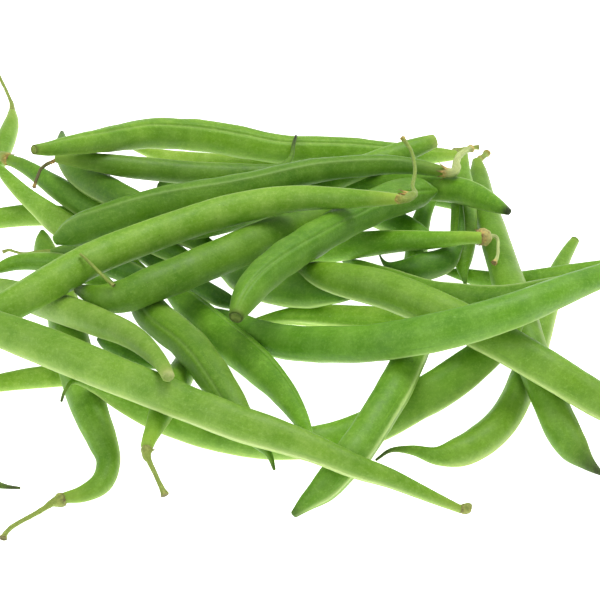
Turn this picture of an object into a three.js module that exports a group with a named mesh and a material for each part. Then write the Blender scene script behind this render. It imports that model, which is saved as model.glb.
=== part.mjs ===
// A heap of fresh green beans, lying loose on a level surface at z = 0.
// Millimetres, +Z up, +X to the right along the long front pods, -Y toward the front.
// Origin: centre of the heap's footprint, on the surface.
import * as THREE from 'three';

// ---- driving dimensions -------------------------------------------------
const POD_SIDES = 12;        // facets round a pod
const STEM_SIDES = 8;        // facets round a pedicel
const CAP_BULGE = 0.35;      // how far an end cap stands out, as a share of its half width
const FLOOR_Z = 0.0;         // the surface that the heap lies on

// ---- colours ------------------------------------------------------------
const GREEN = {
  light: 0x7fae52, mid: 0x6a9c3c, deep: 0x4f8228, dark: 0x3f6f22, pale: 0x9fbf6a,
};
const STEM_GREEN = 0xa3a55a;

// Each pod is a row of oval sections from one end to the other:
// [x, y, z, half width, half thickness, roll of the wide axis from level, in degrees]
const PODS = {
  pod_front_long: [
    [-95.49, -45.30, 29.07, 0.40, 0.33, 135], [-89.61, -46.78, 27.44, 2.03, 1.71, 136],
    [-82.84, -49.12, 26.17, 3.48, 2.92, 137], [-75.29, -52.32, 25.33, 4.37, 3.67, 137],
    [-67.12, -56.32, 24.93, 4.80, 4.03, 138], [-58.47, -61.06, 24.88, 4.92, 4.14, 138],
    [-49.46, -66.41, 25.06, 4.78, 4.01, 138], [-40.08, -72.04, 25.28, 4.72, 3.97, 138],
    [-30.37, -77.65, 25.33, 4.66, 3.92, 138], [-20.40, -82.99, 24.96, 4.46, 3.75, 138],
    [-10.23, -87.58, 23.92, 4.50, 3.78, 137], [0.15, -90.39, 22.02, 4.14, 3.48, 135],
    [9.99, -92.69, 19.26, 3.49, 2.93, 136], [19.00, -94.65, 15.80, 3.02, 2.54, 133],
    [27.28, -94.83, 12.01, 2.51, 2.11, 131], [34.49, -95.26, 8.05, 1.96, 1.65, 131],
    [40.71, -95.32, 4.27, 1.46, 1.23, 128], [45.97, -94.97, 0.87, 1.02, 0.85, 128],
  ],
  pod_top_long: [
    [-95.35, -48.03, 13.97, 0.53, 0.45, 124], [-90.36, -47.56, 16.67, 1.71, 1.44, 126],
    [-84.42, -46.63, 19.40, 2.96, 2.49, 128], [-77.83, -44.23, 21.92, 3.95, 3.32, 132],
    [-70.80, -40.41, 23.98, 4.40, 3.70, 134], [-63.55, -35.40, 25.46, 4.66, 3.91, 135],
    [-56.19, -29.46, 26.44, 4.70, 3.94, 135], [-48.22, -23.59, 27.05, 4.61, 3.87, 132],
    [-39.47, -18.41, 27.40, 4.54, 3.81, 131], [-30.53, -13.37, 27.63, 4.55, 3.83, 131],
    [-21.49, -8.73, 27.93, 4.58, 3.84, 130], [-12.24, -5.20, 28.44, 4.41, 3.70, 129],
    [-3.01, -3.11, 29.26, 4.07, 3.42, 128], [5.84, -3.07, 30.43, 3.57, 3.00, 126],
    [13.73, -5.00, 31.87, 3.11, 2.61, 126], [20.59, -7.46, 33.51, 2.63, 2.21, 125],
    [26.51, -9.82, 35.26, 2.10, 1.76, 124], [31.42, -12.13, 36.98, 1.50, 1.26, 123],
  ],
  pod_top_left: [
    [-55.87, -29.87, 19.65, 1.23, 1.03, 133], [-52.19, -32.91, 20.62, 2.53, 2.13, 135],
    [-47.65, -36.20, 21.83, 3.88, 3.26, 130], [-41.40, -36.46, 23.04, 4.56, 3.83, 132],
    [-35.06, -32.96, 23.76, 4.75, 3.99, 133], [-28.27, -28.99, 23.87, 4.88, 4.10, 133],
    [-21.80, -23.79, 23.33, 4.92, 4.14, 133], [-15.40, -18.16, 22.26, 4.97, 4.17, 133],
    [-9.41, -12.03, 20.85, 4.94, 4.15, 133], [-3.59, -5.90, 19.28, 4.84, 4.07, 132],
    [2.14, -0.09, 17.66, 4.67, 3.92, 132], [7.68, 5.30, 16.15, 4.37, 3.67, 131],
    [12.93, 10.17, 14.88, 3.85, 3.24, 132], [17.81, 14.45, 13.93, 3.10, 2.60, 132],
    [22.32, 17.97, 13.35, 2.02, 1.70, 132], [26.45, 20.54, 13.12, 0.73, 0.61, 131],
  ],
  pod_back_broad: [
    [-63.58, -7.81, 19.20, 1.54, 1.30, 131], [-59.03, -6.31, 20.61, 4.20, 3.53, 128],
    [-53.53, -4.88, 21.96, 4.98, 4.18, 129], [-47.31, -2.85, 23.11, 5.06, 4.25, 129],
    [-40.49, -0.24, 23.95, 5.05, 4.24, 129], [-33.07, 2.61, 24.43, 4.91, 4.13, 128],
    [-25.01, 5.11, 24.52, 4.72, 3.97, 128], [-16.73, 8.00, 24.28, 4.50, 3.78, 128],
    [-8.54, 11.55, 23.82, 4.27, 3.58, 128], [-0.56, 15.55, 23.24, 4.07, 3.42, 129],
    [7.31, 19.38, 22.68, 3.79, 3.18, 128], [15.31, 21.98, 22.20, 3.51, 2.95, 127],
    [23.15, 23.36, 21.93, 3.29, 2.76, 127], [30.47, 23.97, 21.94, 2.93, 2.46, 126],
    [37.01, 23.01, 22.23, 2.46, 2.07, 126], [42.42, 20.86, 22.75, 1.97, 1.66, 127],
    [46.77, 18.49, 23.39, 1.52, 1.27, 127],
  ],
  pod_cut_end: [
    [-11.87, -51.70, 28.32, 1.96, 2.16, 162], [-10.57, -47.48, 28.71, 3.19, 3.51, 159],
    [-8.72, -42.55, 28.88, 3.90, 4.29, 153], [-6.04, -37.12, 28.76, 4.34, 4.77, 147],
    [-2.55, -31.39, 28.30, 4.60, 5.06, 143], [1.51, -25.43, 27.51, 4.73, 5.20, 140],
    [5.98, -19.33, 26.44, 4.79, 5.27, 138], [10.69, -13.20, 25.19, 4.73, 5.21, 137],
    [15.55, -7.21, 23.88, 4.75, 5.22, 136], [20.43, -1.48, 22.62, 4.79, 5.27, 135],
    [25.21, 3.87, 21.49, 4.93, 5.42, 135], [30.01, 8.49, 20.57, 5.15, 5.66, 132],
    [34.97, 11.88, 19.87, 5.12, 5.63, 130], [39.82, 13.89, 19.47, 4.30, 4.73, 129],
    [44.15, 14.70, 19.38, 0.87, 0.95, 127],
  ],
  pod_back_upper: [
    [-69.17, 4.77, 41.32, 1.39, 1.25, 115], [-65.60, 8.57, 38.86, 2.07, 1.86, 118],
    [-61.82, 13.48, 36.30, 2.54, 2.29, 119], [-57.22, 18.75, 33.40, 3.07, 2.77, 119],
    [-52.00, 24.54, 30.32, 3.54, 3.18, 120], [-46.16, 30.75, 27.19, 4.01, 3.61, 121],
    [-39.38, 36.81, 24.02, 4.51, 4.05, 121], [-30.96, 41.12, 20.72, 4.62, 4.16, 122],
    [-21.50, 43.87, 17.66, 4.77, 4.29, 123], [-11.47, 44.39, 15.05, 4.70, 4.23, 126],
    [-1.37, 44.24, 12.96, 4.38, 3.94, 125], [8.44, 45.75, 11.31, 4.39, 3.95, 125],
    [17.85, 47.25, 9.85, 4.32, 3.89, 125], [26.71, 48.53, 8.39, 3.95, 3.56, 125],
    [34.83, 49.84, 6.79, 3.52, 3.17, 124], [41.91, 51.89, 5.07, 3.05, 2.74, 124],
    [47.90, 54.33, 3.29, 2.33, 2.09, 123], [52.86, 56.71, 1.54, 1.55, 1.39, 121],
  ],
  pod_back_pale: [
    [-46.85, 61.56, 0.32, 0.47, 0.39, 128], [-43.07, 59.03, 1.08, 1.29, 1.08, 129],
    [-38.40, 56.01, 1.83, 2.05, 1.73, 129], [-32.69, 52.99, 2.52, 2.76, 2.32, 128],
    [-25.92, 50.52, 3.06, 3.37, 2.83, 127], [-18.43, 48.62, 3.40, 3.73, 3.13, 127],
    [-10.50, 47.53, 3.55, 3.81, 3.20, 127], [-2.50, 47.30, 3.53, 3.69, 3.10, 126],
    [5.24, 47.54, 3.33, 3.54, 2.98, 126], [12.44, 48.04, 2.98, 3.28, 2.76, 126],
    [18.88, 48.74, 2.46, 2.57, 2.16, 126], [24.39, 49.60, 1.82, 1.67, 1.40, 126],
    [28.86, 50.53, 1.13, 0.61, 0.52, 125],
  ],
  pod_back_lower: [
    [-65.26, 20.83, 26.68, 1.44, 1.21, 126], [-60.90, 20.92, 26.17, 2.09, 1.76, 127],
    [-55.71, 21.05, 25.22, 2.56, 2.15, 126], [-49.80, 21.45, 23.85, 2.94, 2.47, 126],
    [-43.31, 22.35, 22.17, 3.24, 2.72, 125], [-36.35, 23.57, 20.39, 3.35, 2.82, 125],
    [-29.00, 24.58, 18.73, 3.36, 2.83, 126], [-21.46, 25.55, 17.41, 3.37, 2.83, 126],
    [-13.97, 26.60, 16.59, 3.15, 2.64, 126], [-6.79, 27.74, 16.29, 2.53, 2.13, 127],
    [-0.59, 30.29, 16.40, 1.33, 1.12, 134], [2.39, 35.47, 16.60, 0.69, 0.58, 166],
    [2.90, 40.73, 16.89, 0.56, 0.47, 173], [3.71, 45.02, 17.24, 0.38, 0.32, 158],
  ],
  pod_blunt_tip: [
    [44.91, 41.05, 18.15, 2.09, 1.76, -131], [40.98, 38.55, 18.29, 2.64, 2.21, -131],
    [36.05, 35.90, 18.12, 3.05, 2.56, -131], [30.21, 33.19, 17.59, 3.20, 2.69, -131],
    [23.75, 30.17, 16.78, 3.33, 2.80, -132], [16.87, 26.75, 15.91, 3.38, 2.84, -132],
    [9.80, 22.91, 15.25, 3.37, 2.83, -133], [3.00, 18.35, 15.01, 3.35, 2.81, -133],
    [-3.37, 13.39, 15.25, 3.26, 2.74, -133], [-9.26, 8.43, 15.94, 3.08, 2.58, -132],
    [-14.54, 3.66, 16.93, 2.75, 2.31, -131], [-19.07, -0.80, 18.05, 2.21, 1.86, -131],
    [-22.86, -4.78, 19.16, 1.47, 1.24, -131], [-25.93, -8.13, 20.17, 0.56, 0.47, -131],
  ],
  pod_left_dark: [
    [-67.30, 50.63, 14.61, 0.61, 0.51, -172], [-66.87, 46.03, 15.17, 1.59, 1.34, -179],
    [-65.86, 40.49, 15.76, 2.43, 2.04, -189], [-63.94, 34.24, 16.32, 3.30, 2.77, -199],
    [-60.71, 27.73, 16.79, 3.87, 3.25, -211], [-55.68, 21.78, 17.08, 4.20, 3.53, -221],
    [-49.49, 16.59, 17.09, 4.35, 3.66, -222], [-43.21, 11.51, 16.81, 4.32, 3.63, -222],
    [-37.05, 6.73, 16.32, 4.17, 3.50, -222], [-31.20, 2.42, 15.68, 3.86, 3.24, -222],
    [-25.88, -1.34, 14.92, 3.28, 2.76, -222], [-21.18, -4.38, 14.07, 2.33, 1.96, -223],
    [-17.18, -6.60, 13.18, 0.85, 0.71, -224],
  ],
  pod_left_middle: [
    [-83.05, 45.06, 8.19, 1.67, 1.40, 131], [-79.51, 42.08, 8.78, 2.06, 1.73, 136],
    [-75.53, 38.08, 9.23, 2.44, 2.05, 140], [-71.01, 33.34, 9.46, 2.92, 2.45, 141],
    [-65.87, 28.16, 9.42, 3.48, 2.92, 142], [-60.10, 22.90, 9.16, 3.90, 3.27, 139],
    [-53.77, 17.89, 8.79, 4.09, 3.44, 138], [-47.32, 13.03, 8.50, 4.01, 3.37, 138],
    [-41.20, 8.17, 8.44, 3.80, 3.19, 138], [-35.68, 3.41, 8.63, 3.47, 2.92, 138],
    [-30.80, -0.96, 9.02, 2.86, 2.40, 137], [-26.70, -4.83, 9.53, 1.95, 1.64, 138],
    [-23.44, -8.12, 10.05, 0.71, 0.59, 138],
  ],
  pod_left_lower: [
    [-86.66, 37.27, 13.09, 0.60, 0.50, 150], [-84.16, 34.08, 12.43, 1.42, 1.19, 152],
    [-81.03, 30.27, 11.35, 2.03, 1.70, 151], [-77.04, 26.23, 9.82, 2.53, 2.13, 146],
    [-72.18, 22.25, 8.03, 3.09, 2.60, 144], [-66.95, 18.04, 6.30, 3.88, 3.26, 142],
    [-61.23, 14.14, 4.85, 4.10, 3.45, 140], [-55.59, 10.22, 3.85, 4.06, 3.41, 140],
    [-50.39, 6.34, 3.20, 3.67, 3.08, 140], [-45.66, 2.86, 2.74, 2.87, 2.41, 139],
    [-41.46, 0.08, 2.33, 1.75, 1.47, 138], [-37.97, -2.03, 1.87, 0.43, 0.36, 138],
  ],
  pod_far_left: [
    [-86.67, 79.76, 1.61, 1.27, 1.07, -180], [-86.26, 76.12, 1.86, 1.91, 1.60, -171],
    [-86.19, 71.56, 2.12, 2.53, 2.13, -163], [-86.53, 66.22, 2.34, 2.87, 2.41, -159],
    [-87.18, 60.35, 2.49, 2.98, 2.50, -157], [-88.09, 54.22, 2.54, 3.00, 2.52, -154],
    [-89.46, 48.16, 2.48, 2.93, 2.46, -151], [-91.04, 42.47, 2.30, 2.74, 2.30, -149],
    [-92.74, 37.41, 1.99, 2.30, 1.93, -147], [-94.62, 33.26, 1.56, 1.51, 1.27, -144],
    [-96.19, 29.99, 1.05, 0.52, 0.44, -147],
  ],
  pod_left_flat: [
    [-100.00, 20.53, 1.61, 0.59, 0.50, 128], [-96.59, 21.26, 1.96, 1.75, 1.47, 127],
    [-92.28, 21.90, 2.30, 2.50, 2.10, 127], [-87.26, 22.83, 2.58, 2.86, 2.41, 127],
    [-81.73, 23.97, 2.76, 3.03, 2.55, 127], [-75.85, 24.74, 2.83, 3.12, 2.62, 128],
    [-69.92, 24.76, 2.77, 3.06, 2.57, 128], [-64.30, 24.17, 2.62, 2.91, 2.45, 129],
    [-59.26, 23.34, 2.40, 2.67, 2.24, 129], [-54.96, 22.60, 2.14, 2.05, 1.72, 129],
    [-51.50, 22.09, 1.90, 0.89, 0.75, 129],
  ],
  pod_hooked: [
    [-55.37, -91.89, 1.97, 1.40, 1.18, 135], [-50.63, -90.81, 2.33, 2.14, 1.79, 136],
    [-46.02, -87.95, 3.43, 2.84, 2.39, 150], [-44.57, -81.96, 4.85, 3.05, 2.56, 176],
    [-46.53, -75.39, 6.50, 3.80, 3.19, 194], [-49.42, -68.49, 8.20, 4.41, 3.71, 192],
    [-52.08, -60.89, 9.43, 4.82, 4.05, 190], [-54.41, -52.73, 10.04, 4.94, 4.15, 187],
    [-56.47, -44.26, 9.99, 5.00, 4.20, 186], [-58.53, -35.72, 9.43, 4.91, 4.12, 187],
    [-60.46, -27.26, 8.52, 4.76, 4.00, 186], [-62.31, -19.04, 7.33, 4.60, 3.86, 187],
    [-64.32, -11.26, 5.98, 4.38, 3.68, 191], [-66.38, -3.98, 4.70, 4.09, 3.44, 191],
    [-68.17, 2.78, 3.55, 3.71, 3.11, 188], [-69.59, 8.95, 2.55, 3.14, 2.63, 185],
    [-70.64, 14.45, 1.70, 2.18, 1.83, 182], [-71.39, 19.22, 0.95, 0.74, 0.62, 179],
  ],
  pod_left_low: [
    [-82.13, -11.92, 10.96, 0.42, 0.35, 130], [-79.64, -10.76, 11.49, 1.56, 1.31, 131],
    [-76.43, -9.51, 12.06, 2.11, 1.77, 129], [-72.40, -9.20, 12.58, 2.42, 2.03, 128],
    [-67.95, -9.76, 12.99, 2.72, 2.28, 129], [-63.36, -10.90, 13.24, 3.07, 2.58, 132],
    [-59.08, -12.90, 13.32, 3.09, 2.59, 136], [-55.23, -15.26, 13.25, 2.99, 2.51, 137],
    [-51.75, -17.38, 13.06, 2.43, 2.04, 137], [-48.66, -19.00, 12.81, 1.50, 1.26, 137],
    [-46.27, -20.42, 12.53, 0.56, 0.47, 140],
  ],
  pod_under_left: [
    [-66.17, -0.24, 8.80, 1.00, 0.84, 128], [-63.68, 0.23, 8.43, 1.86, 1.56, 129],
    [-60.52, 0.04, 8.07, 2.58, 2.17, 131], [-56.97, -1.07, 7.77, 3.02, 2.54, 134],
    [-53.23, -2.78, 7.51, 3.27, 2.75, 135], [-49.28, -4.55, 7.27, 3.39, 2.85, 134],
    [-45.35, -6.36, 7.02, 3.39, 2.84, 135], [-41.65, -8.17, 6.78, 3.07, 2.58, 135],
    [-38.23, -9.65, 6.57, 2.51, 2.11, 133], [-35.29, -10.88, 6.42, 1.68, 1.41, 134],
    [-33.03, -12.08, 6.34, 0.71, 0.59, 136],
  ],
  pod_pale_left: [
    [-28.03, -80.29, 33.21, 1.62, 1.36, -168], [-29.12, -75.99, 31.73, 1.80, 1.51, -159],
    [-30.93, -70.98, 30.09, 2.09, 1.75, -153], [-33.47, -65.42, 28.27, 2.52, 2.12, -149],
    [-36.79, -59.44, 26.39, 3.00, 2.52, -144], [-41.22, -53.50, 24.47, 3.36, 2.82, -138],
    [-46.71, -47.98, 22.41, 3.67, 3.08, -135], [-52.44, -42.42, 20.31, 3.87, 3.25, -135],
    [-58.31, -37.02, 18.17, 3.92, 3.29, -133], [-63.99, -31.75, 15.97, 3.89, 3.27, -134],
    [-69.34, -26.72, 13.80, 3.69, 3.10, -133], [-74.17, -21.94, 11.77, 3.27, 2.75, -135],
    [-78.46, -17.57, 9.96, 2.61, 2.20, -134], [-82.30, -13.87, 8.37, 1.72, 1.44, -134],
    [-85.52, -10.73, 7.08, 0.57, 0.48, -135],
  ],
  pod_floor_left: [
    [-92.90, -50.91, 0.71, 0.54, 0.45, 131], [-88.57, -50.69, 1.36, 1.60, 1.34, 131],
    [-83.17, -50.02, 1.95, 2.09, 1.76, 132], [-76.89, -48.88, 2.36, 2.40, 2.02, 132],
    [-69.96, -47.51, 2.58, 2.74, 2.30, 132], [-62.62, -46.46, 2.66, 2.96, 2.49, 132],
    [-55.22, -45.90, 2.67, 2.99, 2.51, 132], [-48.15, -45.92, 2.66, 2.86, 2.40, 132],
    [-41.78, -46.50, 2.68, 2.39, 2.01, 133], [-36.39, -47.38, 2.70, 1.71, 1.43, 133],
    [-32.10, -48.29, 2.71, 0.54, 0.46, 134],
  ],
  pod_floor_long: [
    [-55.71, -77.90, 22.63, 0.32, 0.27, 164], [-55.41, -72.28, 20.98, 0.47, 0.40, 156],
    [-53.81, -66.09, 18.72, 0.81, 0.68, 133], [-47.87, -64.19, 15.40, 2.46, 2.07, 136],
    [-40.43, -66.65, 12.15, 3.37, 2.83, 139], [-32.19, -69.57, 9.28, 3.73, 3.13, 138],
    [-23.02, -71.95, 6.89, 3.86, 3.24, 136], [-13.12, -73.61, 5.14, 3.94, 3.31, 135],
    [-2.75, -74.44, 4.10, 4.06, 3.41, 134], [7.73, -73.53, 3.82, 4.24, 3.56, 135],
    [17.86, -70.96, 4.25, 4.63, 3.89, 136], [27.00, -66.67, 5.34, 4.94, 4.15, 142],
    [35.09, -61.40, 6.84, 5.14, 4.32, 141], [42.87, -56.90, 8.78, 5.30, 4.45, 142],
    [49.67, -52.30, 10.98, 5.08, 4.27, 145], [55.59, -47.98, 13.27, 4.38, 3.68, 145],
    [60.84, -44.34, 15.58, 2.93, 2.46, 145], [65.10, -40.96, 17.76, 0.54, 0.45, 150],
  ],
  pod_centre_left: [
    [-41.92, -20.86, 12.31, 0.97, 0.92, 148], [-39.74, -24.83, 12.80, 2.94, 2.79, 154],
    [-37.42, -29.74, 13.49, 4.20, 3.99, 154], [-34.49, -35.25, 14.45, 4.81, 4.57, 148],
    [-30.68, -41.03, 15.59, 4.85, 4.61, 144], [-26.36, -47.14, 16.67, 4.81, 4.57, 147],
    [-22.43, -53.92, 17.55, 4.76, 4.52, 153], [-18.88, -61.07, 18.19, 4.66, 4.43, 156],
    [-15.54, -68.22, 18.50, 4.42, 4.20, 157], [-12.40, -75.09, 18.40, 3.95, 3.75, 159],
    [-9.32, -81.38, 17.97, 3.21, 3.05, 156], [-5.88, -86.62, 17.23, 2.12, 2.01, 152],
    [-2.80, -91.05, 16.32, 0.85, 0.80, 158], [-1.54, -95.33, 15.53, 0.37, 0.36, 180],
  ],
  pod_centre_dark: [
    [-33.16, -14.13, 7.67, 1.55, 1.30, 145], [-30.01, -17.51, 7.28, 2.77, 2.33, 145],
    [-26.39, -21.83, 7.11, 3.91, 3.28, 147], [-22.60, -27.15, 7.16, 4.61, 3.87, 149],
    [-18.46, -33.11, 7.40, 4.98, 4.18, 146], [-13.67, -39.22, 7.76, 5.04, 4.24, 145],
    [-8.69, -45.53, 8.17, 4.87, 4.09, 146], [-4.15, -52.15, 8.57, 4.41, 3.71, 149],
    [-0.21, -58.85, 8.96, 3.79, 3.18, 152], [2.87, -65.41, 9.38, 3.05, 2.56, 157],
    [5.25, -71.47, 9.86, 2.18, 1.83, 157], [7.17, -76.74, 10.42, 1.19, 1.00, 159],
    [8.47, -81.15, 11.00, 0.51, 0.43, 163],
  ],
  pod_right_upper: [
    [-21.47, -16.43, 1.13, 0.71, 0.59, 141], [-17.44, -20.96, 2.02, 2.38, 2.00, 138],
    [-12.87, -26.20, 3.47, 3.63, 3.05, 137], [-7.88, -32.15, 5.55, 4.34, 3.65, 134],
    [-1.99, -38.16, 8.39, 4.70, 3.95, 129], [5.00, -43.68, 12.03, 4.89, 4.11, 125],
    [12.79, -48.82, 16.21, 4.95, 4.16, 124], [21.13, -53.75, 20.68, 4.94, 4.15, 124],
    [30.48, -57.10, 25.24, 5.08, 4.27, 127], [40.68, -58.47, 29.18, 5.12, 4.30, 130],
    [51.22, -57.43, 31.78, 4.91, 4.13, 134], [61.16, -53.77, 32.79, 4.57, 3.84, 136],
    [69.94, -48.54, 32.67, 4.10, 3.44, 137], [77.84, -43.08, 31.97, 3.63, 3.05, 137],
    [85.00, -37.90, 31.05, 3.13, 2.63, 137], [91.42, -33.15, 30.14, 2.49, 2.10, 137],
    [97.13, -28.98, 29.39, 1.61, 1.35, 137], [102.13, -25.48, 28.87, 0.54, 0.46, 137],
  ],
  pod_right_lower: [
    [4.85, -19.55, 18.48, 1.11, 0.93, 129], [8.63, -22.28, 19.44, 3.06, 2.57, 131],
    [13.01, -25.47, 20.44, 4.08, 3.42, 130], [18.30, -28.61, 21.46, 4.75, 3.99, 130],
    [24.36, -31.77, 22.36, 5.08, 4.26, 131], [30.69, -35.68, 23.00, 5.21, 4.38, 133],
    [37.18, -40.23, 23.29, 5.22, 4.38, 134], [44.04, -44.87, 23.13, 5.17, 4.35, 135],
    [51.17, -49.42, 22.45, 5.03, 4.22, 135], [58.33, -53.94, 21.20, 5.00, 4.20, 136],
    [65.40, -58.28, 19.39, 4.96, 4.17, 136], [72.33, -62.19, 17.12, 4.84, 4.07, 135],
    [79.06, -65.50, 14.52, 4.70, 3.95, 134], [85.47, -68.15, 11.77, 4.44, 3.73, 133],
    [91.44, -70.26, 9.03, 3.91, 3.28, 132], [96.83, -72.03, 6.44, 3.14, 2.64, 131],
    [101.60, -73.50, 4.10, 2.05, 1.72, 131], [105.73, -74.67, 2.07, 0.65, 0.55, 131],
  ],
  pod_under_centre: [
    [18.91, -27.44, 14.50, 0.55, 0.46, -128], [15.80, -25.99, 13.72, 1.83, 1.53, -129],
    [12.08, -23.82, 12.84, 3.37, 2.83, -129], [7.70, -21.38, 11.70, 4.77, 4.00, -128],
    [3.02, -18.55, 10.21, 5.25, 4.41, -128], [-1.61, -15.24, 8.44, 5.32, 4.47, -127],
    [-5.85, -11.49, 6.59, 5.20, 4.36, -129], [-9.62, -7.61, 4.87, 4.88, 4.10, -129],
    [-13.28, -4.36, 3.33, 3.87, 3.25, -128], [-16.53, -1.65, 2.16, 1.94, 1.63, -131],
    [-19.09, 0.67, 1.46, 0.58, 0.49, -135],
  ],
  pod_centre_flat: [
    [-8.76, -21.77, 1.03, 0.56, 0.47, 131], [-4.83, -21.33, 1.40, 1.40, 1.17, 131],
    [-0.01, -20.77, 1.90, 2.14, 1.80, 131], [5.63, -20.97, 2.58, 2.88, 2.42, 130],
    [11.73, -22.30, 3.41, 3.42, 2.87, 130], [18.10, -24.18, 4.36, 3.68, 3.09, 130],
    [24.60, -26.06, 5.40, 3.75, 3.15, 130], [30.93, -27.98, 6.45, 3.65, 3.06, 130],
    [37.01, -29.38, 7.42, 3.30, 2.77, 130], [42.59, -30.06, 8.24, 2.68, 2.25, 130],
    [47.43, -30.10, 8.85, 1.85, 1.55, 131], [51.36, -29.65, 9.24, 0.55, 0.46, 132],
  ],
  pod_middle_right: [
    [55.20, -9.19, 21.03, 1.68, 1.41, -124], [51.59, -7.23, 19.54, 1.87, 1.57, -124],
    [46.93, -5.48, 17.71, 2.22, 1.86, -124], [41.51, -3.42, 15.67, 2.57, 2.16, -124],
    [35.50, -0.96, 13.53, 2.89, 2.43, -125], [28.85, 1.17, 11.29, 3.38, 2.84, -125],
    [21.79, 2.71, 9.04, 3.73, 3.13, -126], [14.57, 3.56, 6.90, 3.75, 3.15, -127],
    [7.51, 4.04, 5.01, 3.60, 3.02, -128], [0.85, 3.98, 3.45, 3.22, 2.71, -129],
    [-5.16, 3.37, 2.29, 2.59, 2.17, -130], [-10.34, 2.47, 1.52, 1.64, 1.37, -130],
    [-14.58, 1.51, 1.09, 0.58, 0.49, -130],
  ],
  pod_under_right: [
    [14.34, 23.64, 8.18, 0.74, 0.62, 129], [16.92, 22.72, 8.14, 1.57, 1.32, 129],
    [20.07, 21.37, 8.19, 2.42, 2.04, 130], [23.59, 19.50, 8.36, 3.10, 2.60, 130],
    [27.29, 17.08, 8.62, 3.48, 2.93, 131], [30.94, 14.23, 8.94, 3.62, 3.04, 133],
    [34.40, 11.16, 9.26, 3.60, 3.02, 134], [37.57, 8.09, 9.53, 3.32, 2.79, 135],
    [40.40, 5.26, 9.73, 2.69, 2.26, 135], [42.93, 2.96, 9.83, 1.78, 1.49, 134],
    [45.02, 1.19, 9.86, 0.57, 0.48, 134],
  ],
  pod_hooked_tip: [
    [27.58, 3.27, 6.41, 0.23, 0.19, 168], [28.01, -0.32, 6.99, 0.31, 0.26, 160],
    [29.72, -4.56, 7.52, 0.98, 0.82, 138], [34.18, -7.22, 8.41, 2.65, 2.23, 128],
    [39.97, -7.84, 9.53, 3.96, 3.33, 129], [45.81, -6.44, 10.83, 3.58, 3.00, 140],
    [49.51, -1.73, 12.29, 1.89, 1.59, 162], [51.10, 3.81, 13.64, 1.14, 0.96, 177],
    [51.47, 9.06, 14.68, 0.81, 0.68, 184], [51.66, 13.62, 15.24, 0.49, 0.41, 182],
    [52.11, 17.26, 15.48, 0.22, 0.18, 174],
  ],
  pod_right_slim: [
    [17.52, 4.86, 1.53, 0.58, 0.49, 124], [19.93, 1.44, 3.24, 1.41, 1.18, 130],
    [22.71, -2.88, 4.96, 2.24, 1.88, 133], [26.36, -7.69, 6.61, 2.85, 2.39, 132],
    [31.08, -12.54, 8.20, 3.29, 2.76, 131], [36.48, -17.51, 9.71, 3.52, 2.96, 131],
    [42.61, -22.09, 11.29, 3.64, 3.06, 129], [49.37, -25.72, 13.30, 3.71, 3.12, 127],
    [55.98, -29.07, 15.80, 3.59, 3.02, 125], [62.36, -31.60, 18.76, 3.21, 2.70, 125],
    [68.36, -32.98, 22.00, 2.59, 2.18, 125], [73.75, -33.86, 25.05, 1.81, 1.52, 126],
    [78.55, -34.36, 27.52, 1.06, 0.89, 128], [82.74, -34.30, 29.21, 0.40, 0.34, 132],
  ],
  pod_right_far: [
    [47.09, 0.27, 0.98, 0.72, 0.61, 129], [51.03, -1.27, 1.49, 1.72, 1.45, 129],
    [55.59, -3.90, 2.27, 2.27, 1.90, 129], [60.99, -6.72, 3.47, 2.56, 2.15, 128],
    [67.34, -8.68, 5.21, 2.56, 2.15, 127], [74.12, -9.80, 7.41, 2.55, 2.14, 128],
    [80.81, -11.00, 9.83, 2.49, 2.10, 127], [87.18, -12.15, 12.14, 2.32, 1.95, 128],
    [93.09, -12.65, 14.01, 1.93, 1.62, 130], [98.26, -12.37, 15.21, 1.27, 1.07, 132],
    [102.41, -11.58, 15.75, 0.56, 0.47, 133],
  ],
  pod_dark_tip: [
    [-37.31, 35.25, 6.04, 1.35, 1.13, 134], [-32.93, 33.84, 4.95, 2.36, 1.98, 130],
    [-27.57, 33.09, 4.02, 3.00, 2.52, 128], [-21.40, 32.83, 3.36, 3.26, 2.74, 127],
    [-14.53, 32.82, 3.10, 3.39, 2.85, 127], [-7.09, 32.84, 3.32, 3.49, 2.93, 127],
    [0.78, 32.71, 4.07, 3.56, 2.99, 127], [8.91, 32.30, 5.37, 3.64, 3.06, 126],
    [17.13, 31.42, 7.16, 3.74, 3.14, 125], [25.20, 29.74, 9.36, 3.84, 3.23, 124],
    [32.82, 27.01, 11.81, 3.84, 3.23, 123], [39.77, 23.37, 14.37, 3.82, 3.21, 123],
    [46.00, 19.24, 16.92, 3.79, 3.18, 122], [51.39, 14.73, 19.35, 3.76, 3.16, 124],
    [55.44, 9.59, 21.43, 3.44, 2.89, 128], [58.60, 4.56, 23.25, 2.76, 2.32, 129],
    [61.14, -0.04, 24.85, 1.91, 1.60, 131], [63.26, -4.04, 26.27, 0.98, 0.82, 128],
  ],
  pod_back_hidden: [
    [26.20, 43.44, 1.83, 0.76, 0.64, 128], [28.63, 42.01, 2.14, 1.51, 1.27, 128],
    [31.70, 40.27, 2.47, 2.20, 1.85, 128], [35.35, 38.35, 2.76, 2.64, 2.22, 128],
    [39.51, 36.46, 2.96, 2.95, 2.48, 128], [44.02, 34.82, 3.03, 3.09, 2.59, 128],
    [48.62, 33.43, 2.93, 3.15, 2.65, 128], [52.98, 32.08, 2.69, 2.99, 2.52, 129],
    [56.83, 30.59, 2.34, 2.49, 2.09, 130], [59.94, 28.95, 1.95, 1.69, 1.42, 132],
    [62.25, 27.35, 1.58, 0.75, 0.63, 134],
  ],
  pod_right_hidden: [
    [46.19, 33.03, 6.64, 0.60, 0.50, -155], [44.21, 29.23, 6.11, 1.78, 1.50, -157],
    [42.10, 24.40, 5.41, 2.33, 1.96, -163], [40.39, 18.51, 4.63, 2.79, 2.35, -171],
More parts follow.
